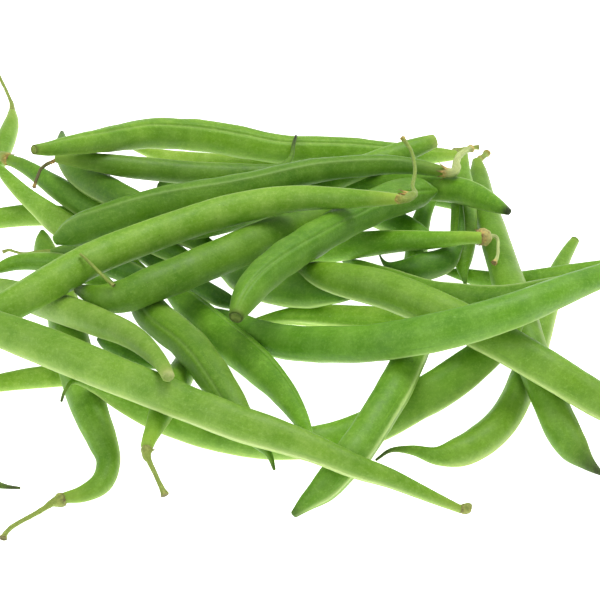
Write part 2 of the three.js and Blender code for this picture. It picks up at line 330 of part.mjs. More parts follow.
    [39.26, 11.78, 3.89, 3.06, 2.57, -177], [38.48, 4.55, 3.28, 3.20, 2.69, -178],
    [37.60, -2.83, 2.87, 3.28, 2.75, -176], [36.48, -10.04, 2.61, 3.25, 2.73, -173],
    [35.17, -16.78, 2.44, 2.94, 2.47, -171], [33.89, -22.83, 2.23, 2.38, 2.00, -171],
    [32.81, -28.02, 1.92, 1.36, 1.14, -172], [32.04, -32.25, 1.46, 0.42, 0.35, -174],
  ],
  pod_right_cross: [
    [58.49, 44.31, 8.40, 1.51, 1.27, 170], [58.65, 39.03, 7.85, 2.61, 2.19, 172],
    [58.76, 32.88, 7.65, 3.22, 2.70, 169], [59.18, 25.93, 7.80, 3.52, 2.96, 165],
    [59.86, 18.27, 8.24, 3.75, 3.15, 164], [60.63, 9.99, 8.91, 4.00, 3.36, 163],
    [61.48, 1.20, 9.73, 4.15, 3.48, 163], [62.35, -7.97, 10.56, 4.29, 3.60, 164],
    [63.22, -17.39, 11.30, 4.55, 3.83, 163], [64.39, -26.87, 11.78, 4.65, 3.91, 161],
    [65.73, -36.25, 11.74, 4.63, 3.89, 163], [67.03, -45.39, 11.07, 4.58, 3.85, 163],
    [68.69, -53.98, 9.69, 4.53, 3.81, 161], [70.82, -61.78, 7.67, 4.49, 3.78, 158],
    [73.24, -68.73, 5.40, 4.57, 3.84, 155], [76.18, -74.72, 3.43, 4.02, 3.37, 149],
    [79.72, -79.59, 2.13, 1.95, 1.64, 143], [83.32, -83.45, 1.65, 0.39, 0.33, 141],
  ],
  pod_right_short: [
    [54.30, 41.25, 13.33, 1.05, 0.88, -172], [53.71, 37.61, 13.32, 1.73, 1.45, -178],
    [53.28, 33.03, 13.16, 2.28, 1.92, -182], [53.07, 27.67, 12.85, 2.93, 2.46, -185],
    [52.98, 21.76, 12.33, 3.48, 2.92, -185], [52.77, 15.57, 11.52, 3.80, 3.20, -183],
    [52.35, 9.46, 10.36, 3.88, 3.26, -181], [51.87, 3.73, 8.87, 3.56, 2.99, -180],
    [51.47, -1.35, 7.17, 2.80, 2.35, -182], [51.49, -5.61, 5.44, 1.36, 1.14, -189],
    [52.02, -8.92, 3.91, 0.43, 0.36, -196],
  ],
  pod_long_tail: [
    [85.87, 15.09, 1.02, 1.33, 1.11, -158], [83.74, 10.58, 1.38, 1.72, 1.44, -160],
    [81.46, 5.26, 1.73, 2.08, 1.75, -164], [79.20, -0.89, 2.05, 2.50, 2.10, -168],
    [77.06, -7.81, 2.32, 2.89, 2.42, -171], [75.02, -15.39, 2.54, 3.15, 2.65, -173],
    [72.90, -23.46, 2.72, 3.35, 2.81, -172], [70.61, -31.86, 2.87, 3.52, 2.96, -172],
    [68.05, -40.41, 3.01, 3.70, 3.11, -169], [65.09, -48.91, 3.17, 3.76, 3.16, -168],
    [62.23, -57.37, 3.34, 3.94, 3.31, -166], [58.36, -65.15, 3.52, 4.17, 3.51, -155],
    [53.25, -71.73, 3.71, 4.31, 3.62, -147], [47.18, -76.67, 3.86, 3.99, 3.35, -141],
    [40.41, -78.56, 3.88, 2.41, 2.02, -134], [34.27, -76.28, 3.69, 1.31, 1.10, -134],
    [28.52, -75.87, 3.26, 0.60, 0.50, -136], [24.62, -78.85, 2.67, 0.32, 0.27, -146],
  ],
  pod_front_cross: [
    [3.41, -99.92, 4.28, 1.01, 0.85, 148], [6.60, -97.87, 6.42, 2.28, 1.92, 142],
    [10.66, -95.48, 8.69, 3.54, 2.98, 145], [14.61, -91.49, 10.86, 4.21, 3.54, 153],
    [18.54, -86.39, 12.74, 4.54, 3.81, 154], [22.26, -80.38, 14.16, 4.60, 3.87, 158],
    [25.70, -73.73, 15.13, 4.64, 3.90, 158], [28.97, -66.83, 15.63, 4.68, 3.93, 160],
    [31.72, -59.81, 15.74, 4.64, 3.90, 163], [34.18, -53.02, 15.62, 4.44, 3.73, 162],
    [36.45, -46.72, 15.29, 4.01, 3.37, 162], [38.33, -41.00, 14.83, 3.23, 2.72, 164],
    [39.78, -36.00, 14.34, 2.04, 1.71, 166], [40.86, -31.80, 13.89, 0.68, 0.57, 168],
  ],
  pod_front_short: [
    [-33.19, -92.97, 21.37, 1.62, 1.36, 166], [-32.73, -88.94, 20.39, 1.90, 1.60, 161],
    [-31.90, -84.07, 19.28, 2.38, 2.00, 159], [-30.90, -78.44, 17.99, 2.97, 2.49, 160],
    [-29.91, -72.20, 16.37, 3.44, 2.89, 159], [-28.79, -65.61, 14.37, 3.62, 3.04, 156],
    [-27.64, -58.86, 12.05, 3.68, 3.09, 156], [-26.58, -52.15, 9.58, 3.52, 2.96, 156],
    [-25.70, -45.66, 7.16, 3.21, 2.70, 159], [-24.99, -39.58, 4.92, 2.70, 2.27, 160],
    [-24.41, -34.07, 2.97, 2.06, 1.73, 162], [-23.89, -29.29, 1.40, 1.25, 1.05, 162],
    [-23.39, -25.33, 0.23, 0.42, 0.35, 161],
  ],
  pod_floor_front: [
    [-67.22, -86.80, 0.40, 0.32, 0.27, -134], [-71.34, -86.73, 1.01, 0.71, 0.60, -138],
    [-76.31, -85.34, 1.77, 1.74, 1.46, -142], [-81.49, -82.21, 2.48, 2.80, 2.35, -148],
    [-86.55, -77.78, 2.96, 3.50, 2.94, -152], [-91.31, -72.54, 3.13, 3.66, 3.08, -155],
    [-95.46, -66.80, 3.00, 3.59, 3.01, -160], [-98.96, -61.04, 2.68, 3.24, 2.72, -163],
    [-101.84, -55.67, 2.27, 2.44, 2.05, -166], [-104.05, -50.96, 1.86, 1.40, 1.17, -169],
    [-105.67, -47.12, 1.52, 0.41, 0.34, -171],
  ],
  pod_low_centre: [
    [-46.03, 10.16, 1.19, 0.59, 0.49, 129], [-43.25, 8.82, 1.61, 1.54, 1.29, 132],
    [-40.12, 6.53, 2.00, 2.25, 1.89, 137], [-36.80, 3.42, 2.31, 2.68, 2.25, 140],
    [-33.28, -0.18, 2.54, 2.88, 2.42, 141], [-29.46, -3.84, 2.65, 2.87, 2.41, 140],
    [-25.47, -7.31, 2.65, 2.86, 2.40, 139], [-21.53, -10.44, 2.51, 2.84, 2.39, 138],
    [-17.78, -13.03, 2.27, 2.61, 2.19, 137], [-14.37, -14.88, 1.95, 1.78, 1.50, 135],
    [-11.53, -16.13, 1.61, 0.57, 0.48, 134],
  ],
  pod_low_left: [
    [-51.16, -30.60, 2.23, 0.55, 0.47, 141], [-49.85, -31.57, 2.22, 1.37, 1.15, 140],
    [-48.17, -32.72, 2.24, 1.99, 1.68, 138], [-46.18, -34.01, 2.30, 2.46, 2.07, 138],
    [-43.97, -35.43, 2.35, 2.66, 2.24, 138], [-41.65, -36.93, 2.39, 2.74, 2.30, 138],
    [-39.26, -38.31, 2.39, 2.65, 2.23, 137], [-36.94, -39.55, 2.34, 2.31, 1.94, 137],
    [-34.86, -40.70, 2.28, 1.70, 1.42, 138], [-33.10, -41.72, 2.22, 1.07, 0.90, 138],
    [-31.71, -42.57, 2.17, 0.55, 0.46, 139],
  ],
};

// Each stem is a calyx and pedicel in one piece, from the pod's end outward, in the same six numbers.
const STEMS = {
  stem_top_long: [
    [33.63, -13.33, 37.81, 1.23, 1.23, 157], [35.11, -11.19, 37.20, 1.59, 1.59, 128],
    [36.46, -8.41, 36.06, 0.99, 0.99, 200], [36.04, -3.84, 35.12, 0.63, 0.63, 177],
    [36.73, 0.49, 34.68, 0.60, 0.60, 174], [37.15, 4.98, 34.42, 0.59, 0.59, 183],
    [37.00, 9.36, 34.34, 0.59, 0.59, 192], [36.49, 13.33, 34.46, 0.60, 0.60, 200],
    [35.35, 16.53, 34.75, 0.63, 0.63, 209], [34.14, 18.90, 35.15, 0.78, 0.78, 215],
  ],
  stem_back_broad: [
    [47.73, 17.70, 23.69, 1.35, 1.35, 125], [49.35, 17.30, 24.17, 1.43, 1.43, 140],
    [50.03, 19.51, 24.45, 0.93, 0.93, 181], [50.28, 22.14, 24.55, 0.68, 0.68, 173],
    [51.12, 24.81, 24.45, 0.61, 0.61, 156], [52.43, 27.11, 24.17, 0.58, 0.58, 140],
    [53.82, 28.88, 23.76, 0.61, 0.61, 132], [55.01, 30.08, 23.35, 0.67, 0.67, 127],
  ],
  stem_back_upper: [
    [53.31, 58.84, 1.35, 1.35, 1.35, 128], [54.37, 59.58, 1.11, 1.10, 1.10, 128],
    [55.85, 60.56, 0.86, 0.84, 0.84, 130], [57.61, 61.47, 0.72, 0.69, 0.69, 128],
    [59.35, 61.87, 0.73, 0.70, 0.70, 127], [60.66, 61.89, 0.85, 0.75, 0.75, 126],
  ],
  stem_back_lower: [
    [-66.40, 20.15, 26.01, 0.52, 0.52, -124], [-67.99, 19.82, 25.40, 0.44, 0.44, -128],
    [-69.76, 18.51, 24.58, 0.40, 0.40, -144], [-70.59, 16.17, 23.79, 0.39, 0.39, -158],
    [-71.11, 13.96, 23.11, 0.40, 0.40, -160], [-71.42, 12.32, 22.62, 0.43, 0.43, -162],
  ],
  stem_left_middle: [
    [-84.05, 46.10, 7.81, 1.96, 1.96, -133], [-84.75, 46.89, 7.55, 1.90, 1.90, -135],
    [-85.69, 47.99, 7.23, 1.65, 1.65, -136], [-86.73, 49.20, 6.90, 1.09, 1.09, -136],
    [-87.71, 50.28, 6.62, 0.64, 0.64, -136], [-88.43, 51.07, 6.43, 0.46, 0.46, -136],
  ],
  stem_far_left: [
    [-86.80, 80.73, 1.45, 0.97, 0.97, 174], [-87.01, 82.75, 1.26, 0.82, 0.82, 176],
    [-87.47, 85.29, 1.04, 0.67, 0.67, 188], [-88.34, 88.19, 0.82, 0.54, 0.54, 193],
    [-89.36, 91.35, 0.65, 0.50, 0.50, 194], [-90.53, 94.57, 0.54, 0.49, 0.49, 196],
    [-91.73, 97.67, 0.50, 0.49, 0.49, 198], [-92.84, 100.50, 0.54, 0.49, 0.49, 195],
    [-93.68, 102.94, 0.64, 0.51, 0.51, 191], [-94.30, 104.89, 0.75, 0.56, 0.56, 190],
  ],
  stem_middle_right: [
    [59.68, -6.30, 19.27, 0.57, 0.57, 127], [60.45, -7.57, 18.85, 0.45, 0.45, 172],
    [60.32, -9.97, 18.51, 0.45, 0.45, 176], [60.15, -12.53, 18.17, 0.45, 0.45, 179],
    [59.53, -14.77, 17.93, 0.49, 0.49, 198], [58.80, -16.32, 17.80, 0.56, 0.56, 200],
  ],
  stem_hooked: [
    [-56.62, -92.52, 1.61, 1.59, 1.59, -135], [-58.48, -93.12, 1.28, 0.90, 0.90, -139],
    [-60.46, -94.83, 0.97, 0.67, 0.67, -142], [-62.88, -96.70, 0.72, 0.61, 0.61, -139],
    [-65.45, -98.64, 0.60, 0.58, 0.58, -140], [-67.74, -100.70, 0.63, 0.58, 0.58, -141],
    [-69.10, -102.92, 0.74, 0.59, 0.59, -152], [-69.60, -104.86, 0.86, 0.63, 0.63, -158],
  ],
  stem_front_short: [
    [-33.21, -95.18, 20.32, 1.12, 1.12, 165], [-32.46, -96.70, 19.63, 0.71, 0.71, 164],
    [-31.39, -98.76, 18.66, 0.60, 0.60, 164], [-30.22, -101.02, 17.57, 0.62, 0.62, 164],
    [-29.15, -103.06, 16.57, 0.70, 0.70, 164], [-28.37, -104.54, 15.82, 0.81, 0.81, 163],
  ],
  stem_right_cross: [
    [59.68, 46.08, 7.95, 1.01, 1.01, 142], [60.07, 46.74, 7.80, 0.92, 0.92, 144],
    [60.58, 47.65, 7.60, 0.84, 0.84, 144], [61.14, 48.66, 7.37, 0.84, 0.84, 144],
    [61.64, 49.58, 7.17, 0.87, 0.87, 145], [62.01, 50.25, 7.02, 0.92, 0.92, 145],
  ],
  stem_under_left: [
    [-67.71, 0.36, 8.49, 0.68, 0.68, -127], [-69.56, 0.90, 8.08, 0.50, 0.50, -127],
    [-72.10, 1.13, 7.44, 0.44, 0.44, -126], [-74.95, 1.74, 6.66, 0.40, 0.40, -126],
    [-77.37, 3.39, 5.95, 0.40, 0.40, -134], [-79.41, 4.97, 5.32, 0.43, 0.43, -127],
    [-81.14, 4.90, 4.67, 0.49, 0.49, -137],
  ],
  stem_loose: [
    [-54.28, -29.36, 31.50, 0.35, 0.35, 141], [-52.95, -30.25, 30.85, 0.39, 0.39, 145],
    [-51.33, -31.70, 30.06, 0.43, 0.43, 148], [-49.51, -33.45, 29.24, 0.43, 0.43, 148],
    [-47.73, -35.28, 28.52, 0.43, 0.43, 149], [-46.09, -36.81, 27.94, 0.44, 0.44, 145],
    [-44.79, -37.87, 27.55, 0.48, 0.48, 143],
  ],
  stem_front_long: [
    [46.97, -94.92, 1.07, 1.05, 1.05, 0], [47.47, -94.89, 1.32, 1.30, 1.30, 0],
    [48.07, -94.85, 1.17, 1.15, 1.15, 0], [48.67, -94.82, 0.87, 0.80, 0.80, 0],
    [49.37, -94.78, 0.87, 0.72, 0.72, 0], [50.07, -94.74, 0.87, 0.85, 0.85, 0],
  ],
};

// pod tone by name, where it is not the middle green
const TONE = {
  pod_front_long: 'light', pod_top_long: 'light', pod_floor_left: 'light', pod_far_left: 'light',
  pod_back_pale: 'pale', pod_pale_left: 'pale', pod_left_lower: 'light', pod_left_flat: 'light',
  pod_left_dark: 'deep', pod_left_middle: 'deep', pod_under_left: 'dark', pod_under_centre: 'deep',
  pod_centre_dark: 'deep', pod_under_right: 'deep', pod_hooked_tip: 'dark', pod_back_hidden: 'deep',
  pod_right_hidden: 'deep', pod_top_left: 'mid', pod_dark_tip: 'deep',
  pod_low_centre: 'dark', pod_low_left: 'deep',
};

// ---- one closed solid from a row of oval sections ------------------------
function sweptPod(rows, sides) {
  const centres = rows.map((r) => new THREE.Vector3(r[0], r[1], r[2]));
  const path = new THREE.CatmullRomCurve3(centres, false, 'centripetal');
  const n = rows.length;
  const position = [];
  const up = new THREE.Vector3(0, 0, 1);
  const put = (v) => position.push(v.x, v.y, Math.max(v.z, FLOOR_Z));
  const tangentAt = (i) => path.getTangent(i / (n - 1)).normalize();
  rows.forEach((r, i) => {
    const along = tangentAt(i);
    const level = new THREE.Vector3().crossVectors(along, up).normalize();
    const rise = new THREE.Vector3().crossVectors(level, along);
    const roll = THREE.MathUtils.degToRad(r[5]);
    const wide = level.clone().multiplyScalar(Math.cos(roll)).addScaledVector(rise, Math.sin(roll));
    const thick = new THREE.Vector3().crossVectors(along, wide);
    for (let k = 0; k < sides; k++) {
      const a = (2 * Math.PI * (k + 0.5)) / sides;
      put(centres[i].clone()
        .addScaledVector(wide, r[3] * Math.cos(a))
        .addScaledVector(thick, r[4] * Math.sin(a)));
    }
  });
  const start = tangentAt(0).multiplyScalar(-CAP_BULGE * Math.min(rows[0][3], rows[0][4]));
  const end = tangentAt(n - 1).multiplyScalar(CAP_BULGE * Math.min(rows[n - 1][3], rows[n - 1][4]));
  put(centres[0].clone().add(start));
  put(centres[n - 1].clone().add(end));
  const index = [];
  for (let i = 0; i < n - 1; i++) {
    for (let k = 0; k < sides; k++) {
      const a = i * sides + k;
      const b = i * sides + ((k + 1) % sides);
      index.push(a, a + sides, b, b, a + sides, b + sides);
    }
  }
  for (let k = 0; k < sides; k++) {
    const k2 = (k + 1) % sides;
    index.push(n * sides, k, k2);
    index.push(n * sides + 1, (n - 1) * sides + k2, (n - 1) * sides + k);
  }
  const geometry = new THREE.BufferGeometry();
  geometry.setAttribute('position', new THREE.Float32BufferAttribute(position, 3));
  geometry.setIndex(index);
  // turn the faces outward if the section order wound them inward
  let volume = 0;
  const p = geometry.attributes.position;
  const [a, b, c] = [new THREE.Vector3(), new THREE.Vector3(), new THREE.Vector3()];
  for (let t = 0; t < index.length; t += 3) {
    a.fromBufferAttribute(p, index[t]);
    b.fromBufferAttribute(p, index[t + 1]);
    c.fromBufferAttribute(p, index[t + 2]);
    volume += a.dot(b.cross(c)) / 6;
  }
  if (volume < 0) {
    for (let t = 0; t < index.length; t += 3) [index[t + 1], index[t + 2]] = [index[t + 2], index[t + 1]];
    geometry.setIndex(index);
  }
  geometry.computeVertexNormals();
  return geometry;
}

const heap = new THREE.Group();
heap.name = 'green_bean_heap';

const pods = new THREE.Group();
for (const [name, rows] of Object.entries(PODS)) {
  const material = new THREE.MeshStandardMaterial({ color: GREEN[TONE[name] ?? 'mid'], roughness: 0.45, metalness: 0 });
  const mesh = new THREE.Mesh(sweptPod(rows, POD_SIDES), material);
  mesh.name = name;
  pods.add(mesh);
}
heap.add(pods);

const stems = new THREE.Group();
for (const [name, rows] of Object.entries(STEMS)) {
  const material = new THREE.MeshStandardMaterial({ color: STEM_GREEN, roughness: 0.7, metalness: 0 });
  const mesh = new THREE.Mesh(sweptPod(rows, STEM_SIDES), material);
  mesh.name = name;
  stems.add(mesh);
}
heap.add(stems);

export default heap;
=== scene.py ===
"""A heap of fresh green beans lying loose on a pale floor.

Metres in Blender, millimetres in the tables. The section rows are the same as the CAD part's:
[x, y, z, half width, half thickness, roll of the wide axis from level in degrees].
"""
import math
import random

import bpy
import numpy as np
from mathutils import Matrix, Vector, noise


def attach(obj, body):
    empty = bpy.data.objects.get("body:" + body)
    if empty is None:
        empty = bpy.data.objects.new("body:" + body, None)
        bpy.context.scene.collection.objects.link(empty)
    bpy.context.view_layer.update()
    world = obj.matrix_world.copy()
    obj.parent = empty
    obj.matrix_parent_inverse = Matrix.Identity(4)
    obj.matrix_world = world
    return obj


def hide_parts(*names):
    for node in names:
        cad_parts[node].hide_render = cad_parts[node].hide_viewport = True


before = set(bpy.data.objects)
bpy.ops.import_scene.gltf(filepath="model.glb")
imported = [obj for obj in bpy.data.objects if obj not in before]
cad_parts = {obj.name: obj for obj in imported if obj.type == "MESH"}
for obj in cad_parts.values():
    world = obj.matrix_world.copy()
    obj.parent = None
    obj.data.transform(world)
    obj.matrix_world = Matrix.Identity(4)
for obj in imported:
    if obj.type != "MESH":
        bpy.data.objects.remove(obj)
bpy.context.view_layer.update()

MM = 0.001

# ---------------------------------------------------------------- tables
PODS = {
    "pod_front_long": [
        [-95.49, -45.30, 29.07, 0.40, 0.33, 135], [-89.61, -46.78, 27.44, 2.03, 1.71, 136],
        [-82.84, -49.12, 26.17, 3.48, 2.92, 137], [-75.29, -52.32, 25.33, 4.37, 3.67, 137],
        [-67.12, -56.32, 24.93, 4.80, 4.03, 138], [-58.47, -61.06, 24.88, 4.92, 4.14, 138],
        [-49.46, -66.41, 25.06, 4.78, 4.01, 138], [-40.08, -72.04, 25.28, 4.72, 3.97, 138],
        [-30.37, -77.65, 25.33, 4.66, 3.92, 138], [-20.40, -82.99, 24.96, 4.46, 3.75, 138],
        [-10.23, -87.58, 23.92, 4.50, 3.78, 137], [0.15, -90.39, 22.02, 4.14, 3.48, 135],
        [9.99, -92.69, 19.26, 3.49, 2.93, 136], [19.00, -94.65, 15.80, 3.02, 2.54, 133],
        [27.28, -94.83, 12.01, 2.51, 2.11, 131], [34.49, -95.26, 8.05, 1.96, 1.65, 131],
        [40.71, -95.32, 4.27, 1.46, 1.23, 128], [45.97, -94.97, 0.87, 1.02, 0.85, 128],
    ],
    "pod_top_long": [
        [-95.35, -48.03, 13.97, 0.53, 0.45, 124], [-90.36, -47.56, 16.67, 1.71, 1.44, 126],
        [-84.42, -46.63, 19.40, 2.96, 2.49, 128], [-77.83, -44.23, 21.92, 3.95, 3.32, 132],
        [-70.80, -40.41, 23.98, 4.40, 3.70, 134], [-63.55, -35.40, 25.46, 4.66, 3.91, 135],
        [-56.19, -29.46, 26.44, 4.70, 3.94, 135], [-48.22, -23.59, 27.05, 4.61, 3.87, 132],
        [-39.47, -18.41, 27.40, 4.54, 3.81, 131], [-30.53, -13.37, 27.63, 4.55, 3.83, 131],
        [-21.49, -8.73, 27.93, 4.58, 3.84, 130], [-12.24, -5.20, 28.44, 4.41, 3.70, 129],
        [-3.01, -3.11, 29.26, 4.07, 3.42, 128], [5.84, -3.07, 30.43, 3.57, 3.00, 126],
        [13.73, -5.00, 31.87, 3.11, 2.61, 126], [20.59, -7.46, 33.51, 2.63, 2.21, 125],
        [26.51, -9.82, 35.26, 2.10, 1.76, 124], [31.42, -12.13, 36.98, 1.50, 1.26, 123],
    ],
    "pod_top_left": [
        [-55.87, -29.87, 19.65, 1.23, 1.03, 133], [-52.19, -32.91, 20.62, 2.53, 2.13, 135],
        [-47.65, -36.20, 21.83, 3.88, 3.26, 130], [-41.40, -36.46, 23.04, 4.56, 3.83, 132],
        [-35.06, -32.96, 23.76, 4.75, 3.99, 133], [-28.27, -28.99, 23.87, 4.88, 4.10, 133],
        [-21.80, -23.79, 23.33, 4.92, 4.14, 133], [-15.40, -18.16, 22.26, 4.97, 4.17, 133],
        [-9.41, -12.03, 20.85, 4.94, 4.15, 133], [-3.59, -5.90, 19.28, 4.84, 4.07, 132],
        [2.14, -0.09, 17.66, 4.67, 3.92, 132], [7.68, 5.30, 16.15, 4.37, 3.67, 131],
        [12.93, 10.17, 14.88, 3.85, 3.24, 132], [17.81, 14.45, 13.93, 3.10, 2.60, 132],
        [22.32, 17.97, 13.35, 2.02, 1.70, 132], [26.45, 20.54, 13.12, 0.73, 0.61, 131],
    ],
    "pod_back_broad": [
        [-63.58, -7.81, 19.20, 1.54, 1.30, 131], [-59.03, -6.31, 20.61, 4.20, 3.53, 128],
        [-53.53, -4.88, 21.96, 4.98, 4.18, 129], [-47.31, -2.85, 23.11, 5.06, 4.25, 129],
        [-40.49, -0.24, 23.95, 5.05, 4.24, 129], [-33.07, 2.61, 24.43, 4.91, 4.13, 128],
        [-25.01, 5.11, 24.52, 4.72, 3.97, 128], [-16.73, 8.00, 24.28, 4.50, 3.78, 128],
        [-8.54, 11.55, 23.82, 4.27, 3.58, 128], [-0.56, 15.55, 23.24, 4.07, 3.42, 129],
        [7.31, 19.38, 22.68, 3.79, 3.18, 128], [15.31, 21.98, 22.20, 3.51, 2.95, 127],
        [23.15, 23.36, 21.93, 3.29, 2.76, 127], [30.47, 23.97, 21.94, 2.93, 2.46, 126],
        [37.01, 23.01, 22.23, 2.46, 2.07, 126], [42.42, 20.86, 22.75, 1.97, 1.66, 127],
        [46.77, 18.49, 23.39, 1.52, 1.27, 127],
    ],
    "pod_cut_end": [
        [-11.87, -51.70, 28.32, 1.96, 2.16, 162], [-10.57, -47.48, 28.71, 3.19, 3.51, 159],
        [-8.72, -42.55, 28.88, 3.90, 4.29, 153], [-6.04, -37.12, 28.76, 4.34, 4.77, 147],
        [-2.55, -31.39, 28.30, 4.60, 5.06, 143], [1.51, -25.43, 27.51, 4.73, 5.20, 140],
        [5.98, -19.33, 26.44, 4.79, 5.27, 138], [10.69, -13.20, 25.19, 4.73, 5.21, 137],
        [15.55, -7.21, 23.88, 4.75, 5.22, 136], [20.43, -1.48, 22.62, 4.79, 5.27, 135],
        [25.21, 3.87, 21.49, 4.93, 5.42, 135], [30.01, 8.49, 20.57, 5.15, 5.66, 132],
        [34.97, 11.88, 19.87, 5.12, 5.63, 130], [39.82, 13.89, 19.47, 4.30, 4.73, 129],
        [44.15, 14.70, 19.38, 0.87, 0.95, 127],
    ],
    "pod_back_upper": [
        [-69.17, 4.77, 41.32, 1.39, 1.25, 115], [-65.60, 8.57, 38.86, 2.07, 1.86, 118],
        [-61.82, 13.48, 36.30, 2.54, 2.29, 119], [-57.22, 18.75, 33.40, 3.07, 2.77, 119],
        [-52.00, 24.54, 30.32, 3.54, 3.18, 120], [-46.16, 30.75, 27.19, 4.01, 3.61, 121],
        [-39.38, 36.81, 24.02, 4.51, 4.05, 121], [-30.96, 41.12, 20.72, 4.62, 4.16, 122],
        [-21.50, 43.87, 17.66, 4.77, 4.29, 123], [-11.47, 44.39, 15.05, 4.70, 4.23, 126],
        [-1.37, 44.24, 12.96, 4.38, 3.94, 125], [8.44, 45.75, 11.31, 4.39, 3.95, 125],
        [17.85, 47.25, 9.85, 4.32, 3.89, 125], [26.71, 48.53, 8.39, 3.95, 3.56, 125],
        [34.83, 49.84, 6.79, 3.52, 3.17, 124], [41.91, 51.89, 5.07, 3.05, 2.74, 124],
        [47.90, 54.33, 3.29, 2.33, 2.09, 123], [52.86, 56.71, 1.54, 1.55, 1.39, 121],
    ],
    "pod_back_pale": [
        [-46.85, 61.56, 0.32, 0.47, 0.39, 128], [-43.07, 59.03, 1.08, 1.29, 1.08, 129],
        [-38.40, 56.01, 1.83, 2.05, 1.73, 129], [-32.69, 52.99, 2.52, 2.76, 2.32, 128],
        [-25.92, 50.52, 3.06, 3.37, 2.83, 127], [-18.43, 48.62, 3.40, 3.73, 3.13, 127],
        [-10.50, 47.53, 3.55, 3.81, 3.20, 127], [-2.50, 47.30, 3.53, 3.69, 3.10, 126],
        [5.24, 47.54, 3.33, 3.54, 2.98, 126], [12.44, 48.04, 2.98, 3.28, 2.76, 126],
        [18.88, 48.74, 2.46, 2.57, 2.16, 126], [24.39, 49.60, 1.82, 1.67, 1.40, 126],
        [28.86, 50.53, 1.13, 0.61, 0.52, 125],
    ],
    "pod_back_lower": [
        [-65.26, 20.83, 26.68, 1.44, 1.21, 126], [-60.90, 20.92, 26.17, 2.09, 1.76, 127],
        [-55.71, 21.05, 25.22, 2.56, 2.15, 126], [-49.80, 21.45, 23.85, 2.94, 2.47, 126],
        [-43.31, 22.35, 22.17, 3.24, 2.72, 125], [-36.35, 23.57, 20.39, 3.35, 2.82, 125],
        [-29.00, 24.58, 18.73, 3.36, 2.83, 126], [-21.46, 25.55, 17.41, 3.37, 2.83, 126],
        [-13.97, 26.60, 16.59, 3.15, 2.64, 126], [-6.79, 27.74, 16.29, 2.53, 2.13, 127],
        [-0.59, 30.29, 16.40, 1.33, 1.12, 134], [2.39, 35.47, 16.60, 0.69, 0.58, 166],
        [2.90, 40.73, 16.89, 0.56, 0.47, 173], [3.71, 45.02, 17.24, 0.38, 0.32, 158],
    ],
    "pod_blunt_tip": [
        [44.91, 41.05, 18.15, 2.09, 1.76, -131], [40.98, 38.55, 18.29, 2.64, 2.21, -131],
        [36.05, 35.90, 18.12, 3.05, 2.56, -131], [30.21, 33.19, 17.59, 3.20, 2.69, -131],
        [23.75, 30.17, 16.78, 3.33, 2.80, -132], [16.87, 26.75, 15.91, 3.38, 2.84, -132],
        [9.80, 22.91, 15.25, 3.37, 2.83, -133], [3.00, 18.35, 15.01, 3.35, 2.81, -133],
        [-3.37, 13.39, 15.25, 3.26, 2.74, -133], [-9.26, 8.43, 15.94, 3.08, 2.58, -132],
        [-14.54, 3.66, 16.93, 2.75, 2.31, -131], [-19.07, -0.80, 18.05, 2.21, 1.86, -131],
        [-22.86, -4.78, 19.16, 1.47, 1.24, -131], [-25.93, -8.13, 20.17, 0.56, 0.47, -131],
    ],
    "pod_left_dark": [
        [-67.30, 50.63, 14.61, 0.61, 0.51, -172], [-66.87, 46.03, 15.17, 1.59, 1.34, -179],
        [-65.86, 40.49, 15.76, 2.43, 2.04, -189], [-63.94, 34.24, 16.32, 3.30, 2.77, -199],
        [-60.71, 27.73, 16.79, 3.87, 3.25, -211], [-55.68, 21.78, 17.08, 4.20, 3.53, -221],
        [-49.49, 16.59, 17.09, 4.35, 3.66, -222], [-43.21, 11.51, 16.81, 4.32, 3.63, -222],
        [-37.05, 6.73, 16.32, 4.17, 3.50, -222], [-31.20, 2.42, 15.68, 3.86, 3.24, -222],
        [-25.88, -1.34, 14.92, 3.28, 2.76, -222], [-21.18, -4.38, 14.07, 2.33, 1.96, -223],
        [-17.18, -6.60, 13.18, 0.85, 0.71, -224],
    ],
    "pod_left_middle": [
        [-83.05, 45.06, 8.19, 1.67, 1.40, 131], [-79.51, 42.08, 8.78, 2.06, 1.73, 136],
        [-75.53, 38.08, 9.23, 2.44, 2.05, 140], [-71.01, 33.34, 9.46, 2.92, 2.45, 141],
        [-65.87, 28.16, 9.42, 3.48, 2.92, 142], [-60.10, 22.90, 9.16, 3.90, 3.27, 139],
        [-53.77, 17.89, 8.79, 4.09, 3.44, 138], [-47.32, 13.03, 8.50, 4.01, 3.37, 138],
        [-41.20, 8.17, 8.44, 3.80, 3.19, 138], [-35.68, 3.41, 8.63, 3.47, 2.92, 138],
        [-30.80, -0.96, 9.02, 2.86, 2.40, 137], [-26.70, -4.83, 9.53, 1.95, 1.64, 138],
        [-23.44, -8.12, 10.05, 0.71, 0.59, 138],
    ],
    "pod_left_lower": [
        [-86.66, 37.27, 13.09, 0.60, 0.50, 150], [-84.16, 34.08, 12.43, 1.42, 1.19, 152],
        [-81.03, 30.27, 11.35, 2.03, 1.70, 151], [-77.04, 26.23, 9.82, 2.53, 2.13, 146],
        [-72.18, 22.25, 8.03, 3.09, 2.60, 144], [-66.95, 18.04, 6.30, 3.88, 3.26, 142],
        [-61.23, 14.14, 4.85, 4.10, 3.45, 140], [-55.59, 10.22, 3.85, 4.06, 3.41, 140],
        [-50.39, 6.34, 3.20, 3.67, 3.08, 140], [-45.66, 2.86, 2.74, 2.87, 2.41, 139],
        [-41.46, 0.08, 2.33, 1.75, 1.47, 138], [-37.97, -2.03, 1.87, 0.43, 0.36, 138],
    ],
    "pod_far_left": [
        [-86.67, 79.76, 1.61, 1.27, 1.07, -180], [-86.26, 76.12, 1.86, 1.91, 1.60, -171],
        [-86.19, 71.56, 2.12, 2.53, 2.13, -163], [-86.53, 66.22, 2.34, 2.87, 2.41, -159],
